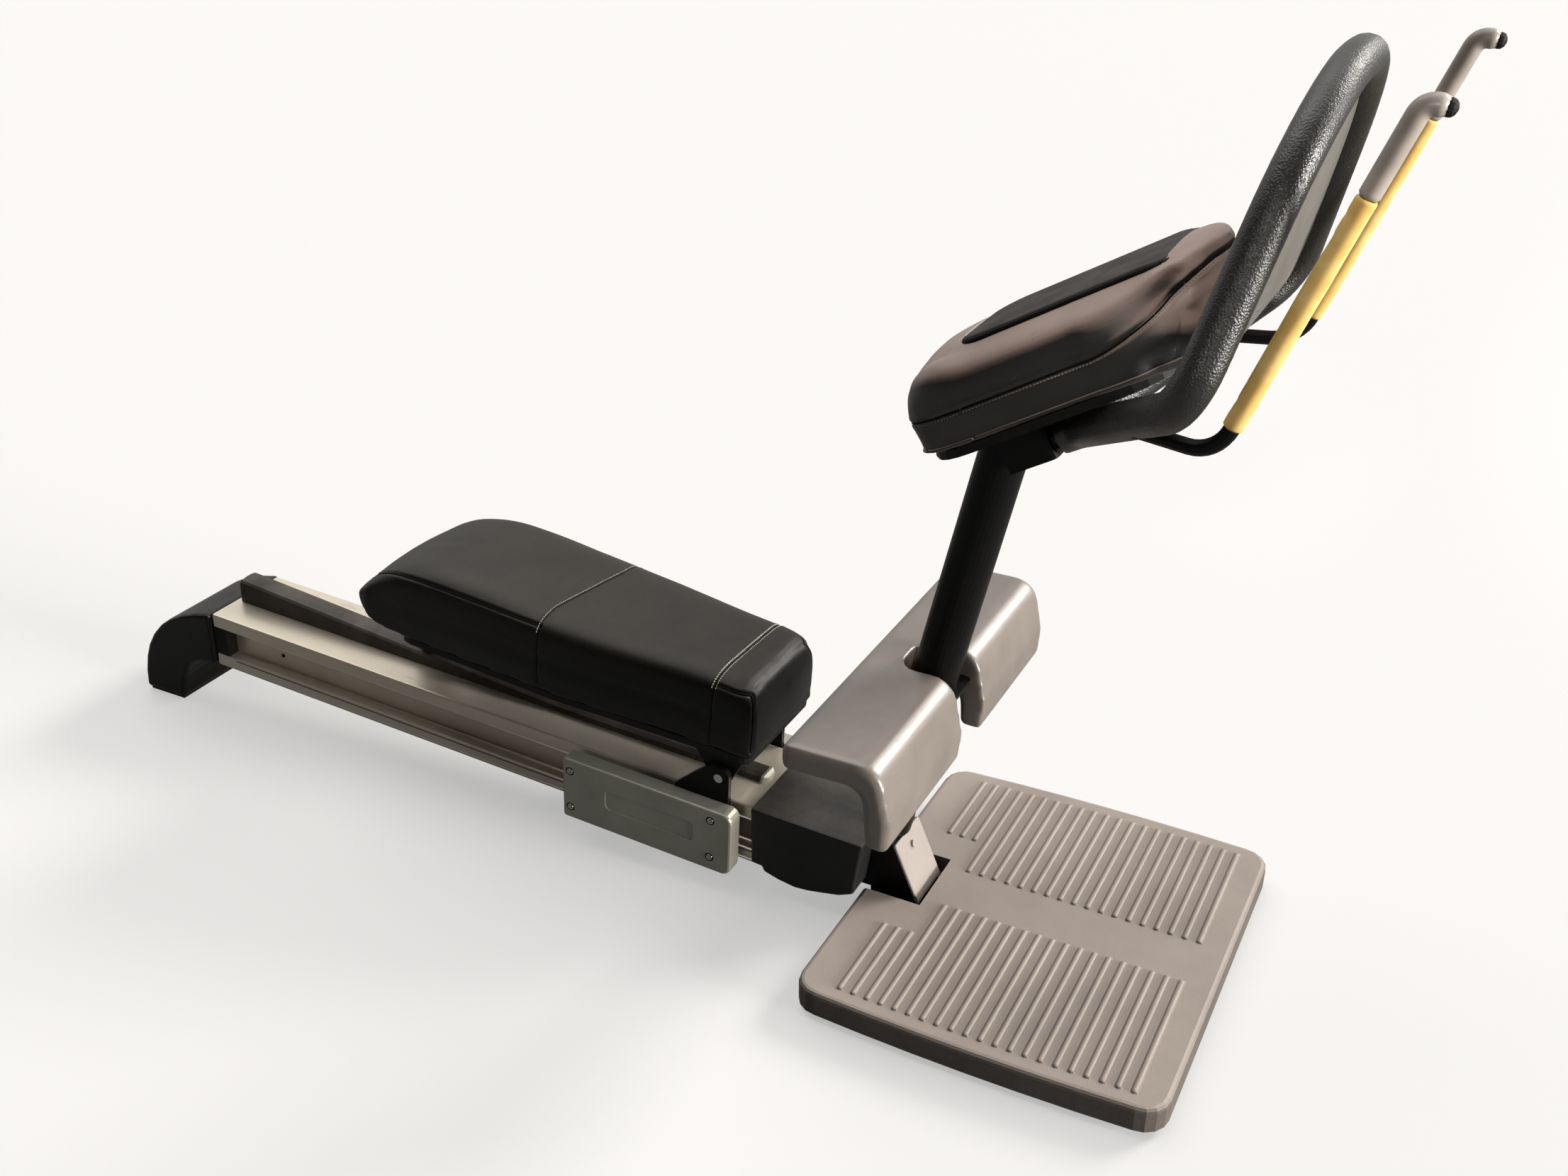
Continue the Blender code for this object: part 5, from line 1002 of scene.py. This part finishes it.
# A row of stitches is (beside, pitch, length, radius, lift).
for name, hoop, thread, rows in (
        ("seat_front_stitches", front_hoop, light_thread,
         [(0.0032, 0.0046, 0.0043, 0.00135, -0.0002), (-0.0034, 0.0046, 0.0040, 0.00080, -0.0003)]),
        ("seat_grey_stitches", rear_hoop, grey_thread, [(0.0030, 0.0046, 0.0042, 0.00100, -0.0002)])):
    bm = bmesh.new()
    for row in rows:
        set_stitches(bm, [(spot, normal) for spot, normal in hoop if normal.z > STITCHED_ABOVE], *row)
    print(name, "sewn in", len(rows), "rows, with", len(bm.verts), "points")
    finish_mesh(name, bm, thread, "seat")

# %% [markdown]
# ### The upper pad
#
# The user leans on this pad, so it is firm, deep and wide. Its cover has a top panel that folds far
# down over the edge and a side panel that is sewn to it: the seam runs low along the side, climbs
# at the front corners and crosses the front just under the top. At the front corners the foam
# pushes the side panel out, and the leather puckers there. A thin piping hides the lower edge.

# %% The upper pad's cover
PAD_BOARD_LEVEL = 0.684
PAD_SEAM_SIDE = 0.731
PAD_SEAM_FRONT = 0.775
PAD_HEM = 0.690
upper_pad = cover_cushion("upper_cushion", "chest_pad", pad_place, PAD_BOARD_LEVEL,
                          voxel=0.005, creases=0.15, smoothing=2)
square_up(upper_pad, pad_place, low=PAD_SEAM_SIDE, power=4.6, ends=(0.50, 0.975), inner=0.094)

# %% [markdown]
# The solid has a pocket for the insert, and its corner would fold when the front end is rounded. The
# insert covers the pocket anyway, so it is filled up and the top panel levelled over it.

# %% Fill the pocket that the insert covers
POCKET_REAR, POCKET_FRONT = 0.584, 0.903
POCKET_HALF = 0.106
POCKET_FLOOR, POCKET_FILL = 0.765, 0.7965

spots = read_triples(upper_pad.data, "co")
along, side, high = measured_in(pad_place, spots).T
inside = ease(along, POCKET_REAR, POCKET_REAR + 0.010)
inside *= 1.0 - ease(along, POCKET_FRONT - 0.010, POCKET_FRONT)
inside *= 1.0 - ease(np.abs(side), POCKET_HALF - 0.008, POCKET_HALF)
lift = (np.where(high > POCKET_FLOOR, np.maximum(POCKET_FILL - high, 0.0), 0.0) * inside)[:, None]
spots += lift * np.array(heading(pad_place, 0.0, 0.0, 1.0))
level = (ease(high, POCKET_FLOOR, POCKET_FLOOR + 0.010) * (1.0 - ease(np.abs(side), 0.125, 0.145)))[:, None]
spots += (even_out(upper_pad, spots, 20) - spots) * level
put_points(upper_pad, spots)
print("pocket filled by", round(1000.0 * float(lift.max()), 1), "mm at most")

# %% [markdown]
# Seen from above, the pad's front end is round like half an ellipse, and its solid is square there.
# So the front end is drawn in: each point moves along a ray from the ellipse's middle, so that the
# solid's outline lands on the ellipse. The middle, where the insert lies, stays where it is.

# %% Round the upper pad's front end
ROUND_START = 0.780          # where the straight sides end
ROUND_LONG, ROUND_HALF = 0.170, 0.158
ROUND_TOP_MORE = 0.026       # how much further the top panel reaches than the seam
SOLID_FRONT, SOLID_HALF = 0.975, 0.155
SOLID_LEAN, SOLID_LEAN_TOP, SOLID_DEEP = 0.091, 0.785, 0.101
KEEP_LONG, KEEP_HALF = 0.116, 0.103
# Spans over which an effect comes in, as levels or places along the pad.
TOP_PANEL, KEEP_LEVELS = (0.775, 0.800), (0.745, 0.775)
CALM_ALONG, CALM_LEVELS = (0.79, 0.83), (0.695, 0.715)

spots = read_triples(upper_pad.data, "co")
along, side, high = measured_in(pad_place, spots).T
ahead = np.maximum(along - ROUND_START, 0.0)
radius = np.maximum(np.hypot(ahead, side), 1e-6)
cosine, sine = ahead / radius, np.abs(side) / radius
solid_long = SOLID_FRONT - ROUND_START - SOLID_LEAN * np.clip((SOLID_LEAN_TOP - high) / SOLID_DEEP, 0.0, 1.0)
solid_edge = np.minimum(solid_long / np.maximum(cosine, 1e-6), SOLID_HALF / np.maximum(sine, 1e-6))
round_long = ROUND_LONG + ROUND_TOP_MORE * ease(high, *TOP_PANEL)
round_edge = 1.0 / np.sqrt((cosine / round_long) ** 2 + (sine / ROUND_HALF) ** 2)
keep = ((cosine / KEEP_LONG) ** 4 + (sine / KEEP_HALF) ** 4) ** -0.25 * ease(high, *KEEP_LEVELS)
scale = (round_edge - keep) / np.maximum(solid_edge - keep, 0.01)
moved = np.where(radius > keep, keep + (radius - keep) * scale, radius)
change = np.where(along > ROUND_START, moved / radius - 1.0, 0.0)
shift = np.outer(ahead * change, heading(pad_place, 1.0, 0.0, 0.0))
shift += np.outer(side * change, heading(pad_place, 0.0, 1.0, 0.0))
spots += even_out(upper_pad, shift, 60)
along, side, high = measured_in(pad_place, spots).T
calm = (ease(along, *CALM_ALONG) * ease(high, *CALM_LEVELS))[:, None]
spots += (even_out(upper_pad, spots, 26) - spots) * calm
put_points(upper_pad, spots)
print("front end drawn in by", round(1000.0 * float(-(radius * change).min()), 1), "mm at most")

# %% [markdown]
# At the front corners the foam pushes the side panel out. Each bulge is a soft hill: points near its
# centre move out along their normals, less and less with distance. A dimple is a small hollow.

# %% Bulges and dimples at the front corners
# Centre along, side and high, how far out, and how wide.
PAD_BULGES = [(0.880, 0.122, 0.722, 0.019, 0.036), (0.835, 0.150, 0.716, 0.006, 0.032)]
PAD_DIMPLES = [(0.852, 0.140, 0.697, -0.005, 0.012), (0.868, 0.131, 0.709, -0.001, 0.010)]
BULGE_LEVELS = (0.742, 0.775)        # the bulges fade out between them
local = measured_in(pad_place, spots)
below_seam = 1.0 - ease(local[:, 2], *BULGE_LEVELS)
outward = read_triples(upper_pad.data, "normal")
for along, side, high, out, wide in PAD_BULGES + PAD_DIMPLES:
    for hand in (-1, 1):
        away = np.linalg.norm(local - np.array((along, hand * side, high)), axis=1)
        spots += outward * (out * np.exp(-(away / wide) ** 2) * below_seam)[:, None]
put_points(upper_pad, spots)
upper_pad.data.materials.append(pad_leather)
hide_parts("chest_pad")
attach(upper_pad, "machine_frame")
print("bulges and dimples:", 2 * len(PAD_BULGES + PAD_DIMPLES))

# %% [markdown]
# The seam's rays turn once round the pad: straight out along the sides, fanned out round both ends.
# Round the front end their level climbs, as the real seam does. The piping's level stays the same.

# %% The upper pad's seam and piping
PAD_REAR_MIDDLE = 0.600
CLIMB_TURN = 75.0            # how many degrees round the front corner the seam has climbed
pad_tree = surface_of(upper_pad)


def pad_loop(side_level, front_level):
    """Casts that run once round the pad: near side, front, far side, rear."""
    near = [((PAD_REAR_MIDDLE + (ROUND_START - PAD_REAR_MIDDLE) * step / 24.0, 0.0, side_level),
             (0.0, -1.0, 0.0)) for step in range(25)]
    for step in range(1, 33):
        turn = math.radians(90.0) * step / 32.0
        climb = min(math.degrees(turn) / CLIMB_TURN, 1.0)
        level = side_level + (front_level - side_level) * climb * climb * (3.0 - 2.0 * climb)
        near.append(((ROUND_START, 0.0, level), (math.sin(turn), -math.cos(turn), 0.0)))
    far = [(origin, (x, -y, z)) for origin, (x, y, z) in reversed(near[:-1])]
    rear = [((PAD_REAR_MIDDLE, 0.0, side_level), (-math.sin(turn), math.cos(turn), 0.0))
            for turn in (math.pi * step / 48.0 for step in range(1, 49))]
    return near + far + rear


pad_seam = trace(pad_tree, pad_place, pad_loop(PAD_SEAM_SIDE, PAD_SEAM_FRONT))
pad_hem = trace(pad_tree, pad_place, pad_loop(PAD_HEM, PAD_HEM))
print("upper pad seam points:", len(pad_seam), "hem points:", len(pad_hem))
press(upper_pad, [pad_seam], depth=0.0022, reach=0.0032)
painted_shade, thread, piping = bmesh.new(), bmesh.new(), bmesh.new()
# A black cord in the seam's dip: painted shade.
lay_cord(painted_shade, pad_seam, radius=0.0011, lift=-0.0014)
set_stitches(thread, pad_seam, beside=-0.0036, pitch=0.0050, length=0.0036, radius=0.00070, lift=-0.0002)
lay_cord(piping, pad_hem, radius=0.0024, lift=0.0006, step=0.004, sides=10)
finish_mesh("pad_seam_painted_shade", painted_shade, painted_shade_black, "machine_frame")
finish_mesh("pad_stitches", thread, grey_thread, "machine_frame")
finish_mesh("pad_piping", piping, pad_leather, "machine_frame")

# %% [markdown]
# ### The insert in the upper pad
#
# A raised insert is sewn into the top panel. It carries the maker's print on the real machine,
# which stays off here. Round it runs a deep dark line: the shadow in the gap between the insert and
# the panel. The insert is a rounded plate with a soft edge, and that shadow is painted: a black
# cord laid round it against a black skirt.

# %% The insert, and the painted shadow in its gap
INSERT_REAR, INSERT_FRONT = 0.600, 0.898
INSERT_HALF = 0.090
INSERT_CORNERS = (0.044, 0.030)      # at the rear and at the front
INSERT_TOP = 0.8046
INSERT_DROP = 0.0050                 # how far its front end dips with the top panel
DROP_START, DROP_LONG = 0.850, 0.080
GAP_DOWN, GAP_RADIUS = 0.0062, 0.0042
# Rings of the insert and of the black skirt under it, which is painted shadow: how much larger, and
# how far down.
INSERT_RINGS = ((0.0, 0.0060), (0.0, 0.0030), (-0.0012, 0.0013), (-0.0034, 0.0004), (-0.0080, 0.0001),
                (-0.0260, 0.0))
SKIRT_RINGS = ((-0.0006, 0.0230), (-0.0006, 0.0050), (-0.0100, 0.0040))


def insert_outline(grow):
    """The insert's outline, made larger by grow, as along and side."""
    points = []
    for end, hand, quarter, corner in ((INSERT_FRONT, 1, 0.0, 1), (INSERT_REAR, 1, 0.5, 0),
                                       (INSERT_REAR, -1, 1.0, 0), (INSERT_FRONT, -1, 1.5, 1)):
        round_in = INSERT_CORNERS[corner]
        inward = -1.0 if end == INSERT_FRONT else 1.0
        reach = max(round_in + grow, 0.002)
        for step in range(13):
            turn = math.pi * (quarter + 0.5 * step / 12.0)
            points.append((end + inward * round_in + reach * math.cos(turn),
                           hand * (INSERT_HALF - round_in) + reach * math.sin(turn)))
    return points


def insert_ring(grow, down):
    """The outline as points of the upper pad, down below the insert's top."""
    ring = []
    for along, side in insert_outline(grow):
        share = min(max((along - DROP_START) / DROP_LONG, 0.0), 1.0)
        drop = INSERT_DROP * share * share * (3.0 - 2.0 * share)
        ring.append(pad_place(along, side, INSERT_TOP - down - drop))
    return ring


bm = bmesh.new()
skin_rings(bm, [insert_ring(*ring) for ring in INSERT_RINGS])
insert = finish_mesh("pad_insert", bm, inlay_leather, "machine_frame")
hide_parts("chest_inlay")
# The black skirt and cord round the insert are painted shadow.
bm = bmesh.new()
skin_rings(bm, [insert_ring(*ring) for ring in SKIRT_RINGS])
track = insert_ring(0.0018, GAP_DOWN)
above = heading(pad_place, 0.0, 0.0, 1.0)
lay_cord(bm, [(spot, above) for spot in track + track[:1]], GAP_RADIUS, 0.0, step=0.004, sides=12)
finish_mesh("insert_gap_shadow", bm, painted_shade_black, "machine_frame")
print("insert", round(INSERT_FRONT - INSERT_REAR, 3), "m long")

# %% [markdown]
# ### The shin pad and the foam loop
#
# Both are foam with a moulded skin, without seams. So they only need the soft copy of their solid:
# its ridges are smoothed, and the foam's skin does the rest.

# %% The shin pad and the foam loop
shin = soft_copy("shin_cushion", "shin_pad", voxel=0.005, smoothing=3)
subdivide(shin)
shin.data.materials.append(shin_skin)
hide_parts("shin_pad")
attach(shin, "machine_frame")

loop = soft_copy("loop_cover", "loop_foam", voxel=0.004, smoothing=3)
loop.data.materials.append(loop_skin)
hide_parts("loop_foam")
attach(loop, "machine_frame")

# %% [markdown]
# ### Grips and upper sleeves
#
# Each handle has a long mustard foam grip, and above it a dark sleeve that follows the tube round
# its bend to the tip. Years of hands have worn the grips: the foam is dented and torn along one
# side. Both are swept along the handle's own line. The grip's radius wanders a little, and deeper
# bites run down the worn side.

# %% The handle's line
GRIP_LOW = Vector((0.508 + ORIGIN_X, 0.225, 1.001))
HANDLE_LEAN = math.radians(20.7)
HANDLE_AHEAD = Vector((math.sin(HANDLE_LEAN), 0.0, math.cos(HANDLE_LEAN)))
GRIP_LONG = 0.290
GRIP_RADIUS = 0.0122
SLEEVE_LONG, SLEEVE_RADIUS = 0.12, 0.0120
SLEEVE_GAP = 0.0006
TOP_RISE = 0.397
TIP_REACH = Vector((0.0225, 0.0, -0.0038))
TOP_BEND = 0.016
END_INSET, END_LONG = 0.0022, 0.0030 # how both ends of a sleeve are rounded
WORN_TOWARDS = math.radians(200.0)   # the side that hands have worn, and how wide it is
WORN_WIDE = 0.55
DENTS_PER_METRE, DENT_DEEP = 24.0, 0.0005
BITES_PER_METRE, BITE_DEEP, BITE_FROM = 70.0, 0.0048, 0.10


def handle_spot(along, side):
    """A point on the handle's axis, measured up from the grip's lower end."""
    spot = GRIP_LOW + HANDLE_AHEAD * along
    return Vector((spot.x, side * spot.y, spot.z))


def swept(bm, track, sides, radius_at):
    """A tube along a track. radius_at gives the radius at a share of the length and an angle."""
    rings = []
    above = Vector((0.0, 1.0, 0.0))
    for index, spot in enumerate(track):
        ahead = (track[min(index + 1, len(track) - 1)] - track[max(index - 1, 0)]).normalized()
        across = above.cross(ahead).normalized()
        share = index / (len(track) - 1)
        rings.append(circle(spot, across, above, lambda turn: radius_at(share, turn), sides))
    skin_rings(bm, rings)


def end_round(share, length, radius):
    """Rounds both ends of a sleeve over a few millimetres."""
    from_end = min(share, 1.0 - share) * length
    return radius - END_INSET * (1.0 - min(from_end / END_LONG, 1.0)) ** 2


def worn_radius(share, turn, side):
    """The grip's radius: slow dents all round, and torn bites along its worn side."""
    where = Vector((share * GRIP_LONG * DENTS_PER_METRE, math.cos(turn) * 0.8,
                    side * 9.0 + math.sin(turn) * 0.8))
    dent = noise.noise(where) * DENT_DEEP
    worn_side = math.exp(-((turn - WORN_TOWARDS) / WORN_WIDE) ** 2)
    row = Vector((share * GRIP_LONG * BITES_PER_METRE, 3.7, side * 5.0))
    bite = max(0.0, noise.noise(row) - BITE_FROM)
    return end_round(share, GRIP_LONG, GRIP_RADIUS) + dent - worn_side * bite * BITE_DEEP


for side, word in ((-1, "right"), (1, "left")):
    bm = bmesh.new()
    track = [handle_spot(GRIP_LONG * step / 150.0, side) for step in range(151)]
    swept(bm, track, 28, lambda share, turn: worn_radius(share, turn, side))
    grip = finish_mesh("grip_" + word, bm, grip_foam, "machine_frame")
    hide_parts("handle_grip_" + word)
print("grips", GRIP_LONG, "m long")

# %% [markdown]
# A sleeve starts where its grip ends: straight at first, then along a quadratic curve round the bend
# to the tip.

# %% Upper sleeves
for side, word in ((-1, "right"), (1, "left")):
    corner = handle_spot(TOP_RISE, side)
    start = handle_spot(GRIP_LONG + SLEEVE_GAP, side)
    bend_in, bend_out = corner - HANDLE_AHEAD * TOP_BEND, corner + TIP_REACH.normalized() * TOP_BEND
    track = [start.lerp(bend_in, step / 30.0) for step in range(30)]
    track += [bend_in.lerp(corner, step / 14.0).lerp(corner.lerp(bend_out, step / 14.0), step / 14.0)
              for step in range(15)]
    track.append(corner + TIP_REACH)
    bm = bmesh.new()
    swept(bm, track, 28, lambda share, turn: end_round(share, SLEEVE_LONG, SLEEVE_RADIUS))
    sleeve = finish_mesh("upper_sleeve_" + word, bm, sleeve_skin, "machine_frame")
    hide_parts("handle_sleeve_" + word)
print("sleeves reach", TOP_RISE, "m up the handles")

# %% [markdown]
# ## The tread
#
# The footplate's ribs are half-round beads with round ends, so bare feet and socks slide on them
# without pain. The solid has plain bars there. A bead is laid over each bar: a half-round section is
# swept along it and shrinks to nothing at both ends. Low light then draws a bright side and a dark
# side on every bead, which is how the eye reads them.

# %% Tread beads
PLATE_TOP = 0.0527
BEAD_SUNK = 0.0004
BEAD_PITCH = 0.02233
BEAD_FIRST = 0.0695 + ORIGIN_X
BEAD_COUNT = 21
BEAD_SHORT = 3               # the first beads stop beside the recess
BEAD_HALF_WIDTH, BEAD_HIGH = 0.0052, 0.0038
BEAD_ENDS = (0.0465, 0.1303)
BEAD_OUTER = 0.2974
BEAD_BOW = 0.0081            # how much further out the middle beads reach
PLATE_HALF_LENGTH = 0.283

bm = bmesh.new()
middle = BEAD_FIRST + BEAD_PITCH * (BEAD_COUNT - 1) / 2.0
for index in range(BEAD_COUNT):
    x = BEAD_FIRST + BEAD_PITCH * index
    inner = BEAD_ENDS[1] if index < BEAD_SHORT else BEAD_ENDS[0]
    outer = BEAD_OUTER + BEAD_BOW * (1.0 - ((x - middle) / PLATE_HALF_LENGTH) ** 2)
    steps = [(inner + BEAD_HALF_WIDTH * (1.0 - math.cos(turn)), math.sin(turn))
             for turn in (math.radians(6.0 + 84.0 * step / 5.0) for step in range(6))]
    steps += [(inner + outer - y, size) for y, size in reversed(steps)]
    for side in (-1, 1):
        skin_rings(bm, [[Vector((x + BEAD_HALF_WIDTH * size * math.cos(turn), side * y,
                                 PLATE_TOP - BEAD_SUNK + BEAD_HIGH * size * math.sin(turn)))
                         for turn in (math.pi * step / 8.0 for step in range(9))] for y, size in steps])
finish_mesh("footplate_tread", bm, plate_plastic, "machine_frame")
print("tread beads:", 2 * BEAD_COUNT)

# %% [markdown]
# ## Screws and small trim
#
# Screws tell the eye how big a machine is. Each side casting is held by four countersunk screws
# with a hexagon socket: a bright ring, and a socket painted black as the shade in its hollow. A
# screw is turned from a profile: points that go out from the middle and down, swept round an axis.


# %% Turned pieces: the castings' screws
# Profiles as (radius, height) points.
SCREW_HEAD = [(0.0056, -0.0010), (0.0056, 0.0005), (0.0051, 0.0010), (0.0034, 0.0010), (0.0032, 0.0006)]
SCREW_SEAT = [(0.0078, -0.0012), (0.0078, 0.0003), (0.0070, 0.0005), (0.0058, 0.0004)]
SOCKET = [(0.0031, -0.0012), (0.0031, 0.0009), (0.0026, 0.0009), (0.0025, -0.0004)]
WEB_SCREW = [(0.0040, -0.001), (0.0040, 0.0006), (0.0034, 0.0012), (0.0018, 0.0012), (0.0014, 0.0004)]
CASTING_OUTER = 0.131
CASTING_SCREWS = [(-0.5155, -0.0230), (-0.5155, -0.0965), (-0.2435, -0.0200), (-0.2435, -0.0935)]


def turned_pieces(name, places, profile, sides, material, body, smooth=True):
    """One piece per (along, side, high) of the rail's frame, swept round the machine's cross direction."""
    bm = bmesh.new()
    for along, side, high in places:
        centre = rail_place(along, side, high)
        axis = Vector((0.0, math.copysign(1.0, side), 0.0))
        across = axis.orthogonal().normalized()
        skin_rings(bm, [circle(centre + axis * up, across, axis.cross(across), radius, sides)
                        for radius, up in profile])
    finish_mesh(name, bm, material, body, smooth)


spots = [(along, side * CASTING_OUTER, high) for side in (-1, 1) for along, high in CASTING_SCREWS]
turned_pieces("casting_screws", spots, SCREW_HEAD, 24, bright_steel, "carriage")
turned_pieces("casting_screw_seats", spots, SCREW_SEAT, 24, black_paint, "carriage")
# The sockets are painted black: painted shade.
turned_pieces("casting_screw_sockets", spots, SOCKET, 6, painted_shade_black, "carriage",
              smooth=False)
print("screws:", len(spots))

# %% [markdown]
# The rail's side is folded into steps and grooves. From afar they read as bright and dark lines that
# run its whole length: highlights on the edges of the steps and shade under them. So thin rods lie
# along the edges of the steps, light ones as painted highlights and black ones as painted shade. A
# screw sits in each web.

# %% Rail trim: painted highlight and shade lines, and a screw in the web
RAIL_ENDS = (-1.312, -0.078)
WEB_SCREW_PLACE = (-1.2135, 0.062, -0.058)
# How far out, how high and how thick each line is.
HIGHLIGHT_LINES = [(0.0655, -0.0850, 0.0019), (0.0860, -0.0856, 0.0017), (0.0866, -0.1060, 0.0013),
                (0.0866, -0.0250, 0.0012)]
SHADE_LINES = [(0.0622, -0.0400, 0.0006), (0.0870, -0.0905, 0.0008)]

for name, lines, material in (("rail_bright_lines", HIGHLIGHT_LINES, highlight_paint),
                              ("rail_dark_lines", SHADE_LINES, painted_shade_black)):
    bm = bmesh.new()
    for out, high, radius in lines:
        for side in (-1, 1):
            turns = [2.0 * math.pi * step / 12.0 for step in range(12)]
            skin_rings(bm, [[rail_place(along, side * (out + radius * math.cos(turn)),
                                        high + radius * math.sin(turn)) for turn in turns]
                            for along in RAIL_ENDS])
    finish_mesh(name, bm, material, "machine_frame")
along, out, high = WEB_SCREW_PLACE
turned_pieces("rail_web_screws", [(along, -out, high), (along, out, high)], WEB_SCREW, 20, black_paint,
              "machine_frame")
print("rail lines:", 2 * len(HIGHLIGHT_LINES + SHADE_LINES))

# %% [markdown]
# ## Floor and light
#
# The machine stands on a wide pale floor, before a pale backdrop. Light that bounces off so much
# white would flatten it. So the kind of ray decides what it meets: the camera and, in part, mirrored
# rays see floor and backdrop pale, while light that bounces meets a dark floor and a dim room.

# %% Floor
FLOOR_HALF = 14.0
FLOOR_MIRRORED, ROOM_MIRRORED = 0.22, 0.65      # how much of the pale backdrop a reflection shows
floor_mesh = bpy.data.meshes.new("studio_floor")
corners = [(x * FLOOR_HALF, y * FLOOR_HALF, 0.0) for x, y in ((-1, -1), (1, -1), (1, 1), (-1, 1))]
floor_mesh.from_pydata(corners, [], [(0, 1, 2, 3)])
floor = link_mesh("studio_floor", floor_mesh)


def seen_rays(tree, mirror_share):
    """1 for what the camera sees, straight on or through glass, and mirror_share in reflections."""
    path = tree.nodes.new("ShaderNodeLightPath").outputs
    straight = combine(tree, "MAXIMUM", path["Is Camera Ray"], path["Is Transmission Ray"])
    return combine(tree, "MAXIMUM", straight, times(tree, path["Is Glossy Ray"], mirror_share))


floor_paint = bpy.data.materials.new("studio_floor")
floor_paint.use_nodes = True
tree = floor_paint.node_tree
shader = tree.nodes["Principled BSDF"]
shader.inputs["Roughness"].default_value = 0.9
shader.inputs["Specular IOR Level"].default_value = 0.1
seen = seen_rays(tree, FLOOR_MIRRORED)
for socket, unseen, shown in (("Base Color", srgb(68, 66, 64), srgb(190, 189, 188)),
                              ("Emission Color", srgb(0, 0, 0), srgb(176, 176, 175))):
    tree.links.new(blend_colours(tree, seen, unseen, shown), shader.inputs[socket])
shader.inputs["Emission Strength"].default_value = 1.0
floor_mesh.materials.append(floor_paint)
print("floor", 2.0 * FLOOR_HALF, "m wide")

# %% World
world = bpy.data.worlds.new("studio_world")
world.use_nodes = True
bpy.context.scene.world = world
tree = world.node_tree
sky = tree.nodes["Background"]
way = tree.nodes.new("ShaderNodeTexCoord").outputs["Generated"]
way = place_node(tree, "ShaderNodeSeparateXYZ", {"Vector": way}).outputs
backdrop = blend_colours(tree, remap(tree, way["Y"], -0.25, 0.25), srgb(92, 86, 78), srgb(244, 242, 240))
room = blend_colours(tree, remap(tree, way["Z"], 0.0, 1.0), srgb(26, 27, 30), srgb(92, 92, 94))
tree.links.new(blend_colours(tree, seen_rays(tree, ROOM_MIRRORED), room, backdrop), sky.inputs["Color"])
sky.inputs["Strength"].default_value = 1.0
bpy.context.scene.view_settings.view_transform = "Standard"
print("world:", world.name)

# %% [markdown]
# There was a bright wall behind the machine and more light beyond its front end. So one lamp comes
# from behind, a strong low one from the front end, and a soft one from the ceiling. Two narrow spots
# follow, for the near handle and for the upper pad's near front corner. The sides that face the
# viewer get almost nothing.

# %% Lamps
# Suns: the direction they come from, strength, angle and colour.
SUNS = {"wall_lamp": ((0.46, 0.74, 0.49), 2.3, 22.0, (1.0, 0.96, 0.92)),
        "front_lamp": ((0.99, 0.0, 0.09), 6.4, 26.0, (1.0, 0.96, 0.93)),
        "ceiling_lamp": ((-0.36, 0.22, 0.91), 1.35, 60.0, (1.0, 0.97, 0.94))}
# Spots: their place, what they are aimed at, power and cone.
SPOTS = {"handle_spot": ((1.20, -2.60, 1.90), (1.46, -0.20, 1.17), 370.0, 16.0),
         "corner_spot": ((1.055, -1.93, 1.92), (0.852, -0.132, 1.072), 190.0, 6.2)}
SPOT_COLOUR = (1.0, 0.96, 0.92)
SPOT_SOFT, SPOT_SIZE = 0.7, 0.22


def add_lamp(name, kind, towards, strength, colour):
    """A lamp that shines from the direction towards."""
    lamp = bpy.data.objects.new(name, bpy.data.lights.new(name, kind))
    lamp.data.energy = strength
    lamp.data.color = colour
    bpy.context.scene.collection.objects.link(lamp)
    lamp.rotation_mode = "QUATERNION"
    lamp.rotation_quaternion = (-towards).to_track_quat("-Z", "Y")
    return lamp


for name, (towards, strength, angle, colour) in SUNS.items():
    add_lamp(name, "SUN", Vector(towards), strength, colour).data.angle = math.radians(angle)
for name, (place, target, power, cone) in SPOTS.items():
    lamp = add_lamp(name, "SPOT", Vector(place) - Vector(target), power, SPOT_COLOUR)
    lamp.location = place
    lamp.data.spot_size = math.radians(cone)
    lamp.data.spot_blend = SPOT_SOFT
    lamp.data.shadow_soft_size = SPOT_SIZE
print("lamps:", [*SUNS, *SPOTS])

# %% [markdown]
# ## The end
#
# Last, the view layer is brought up to date.

# %% The end
bpy.context.view_layer.update()
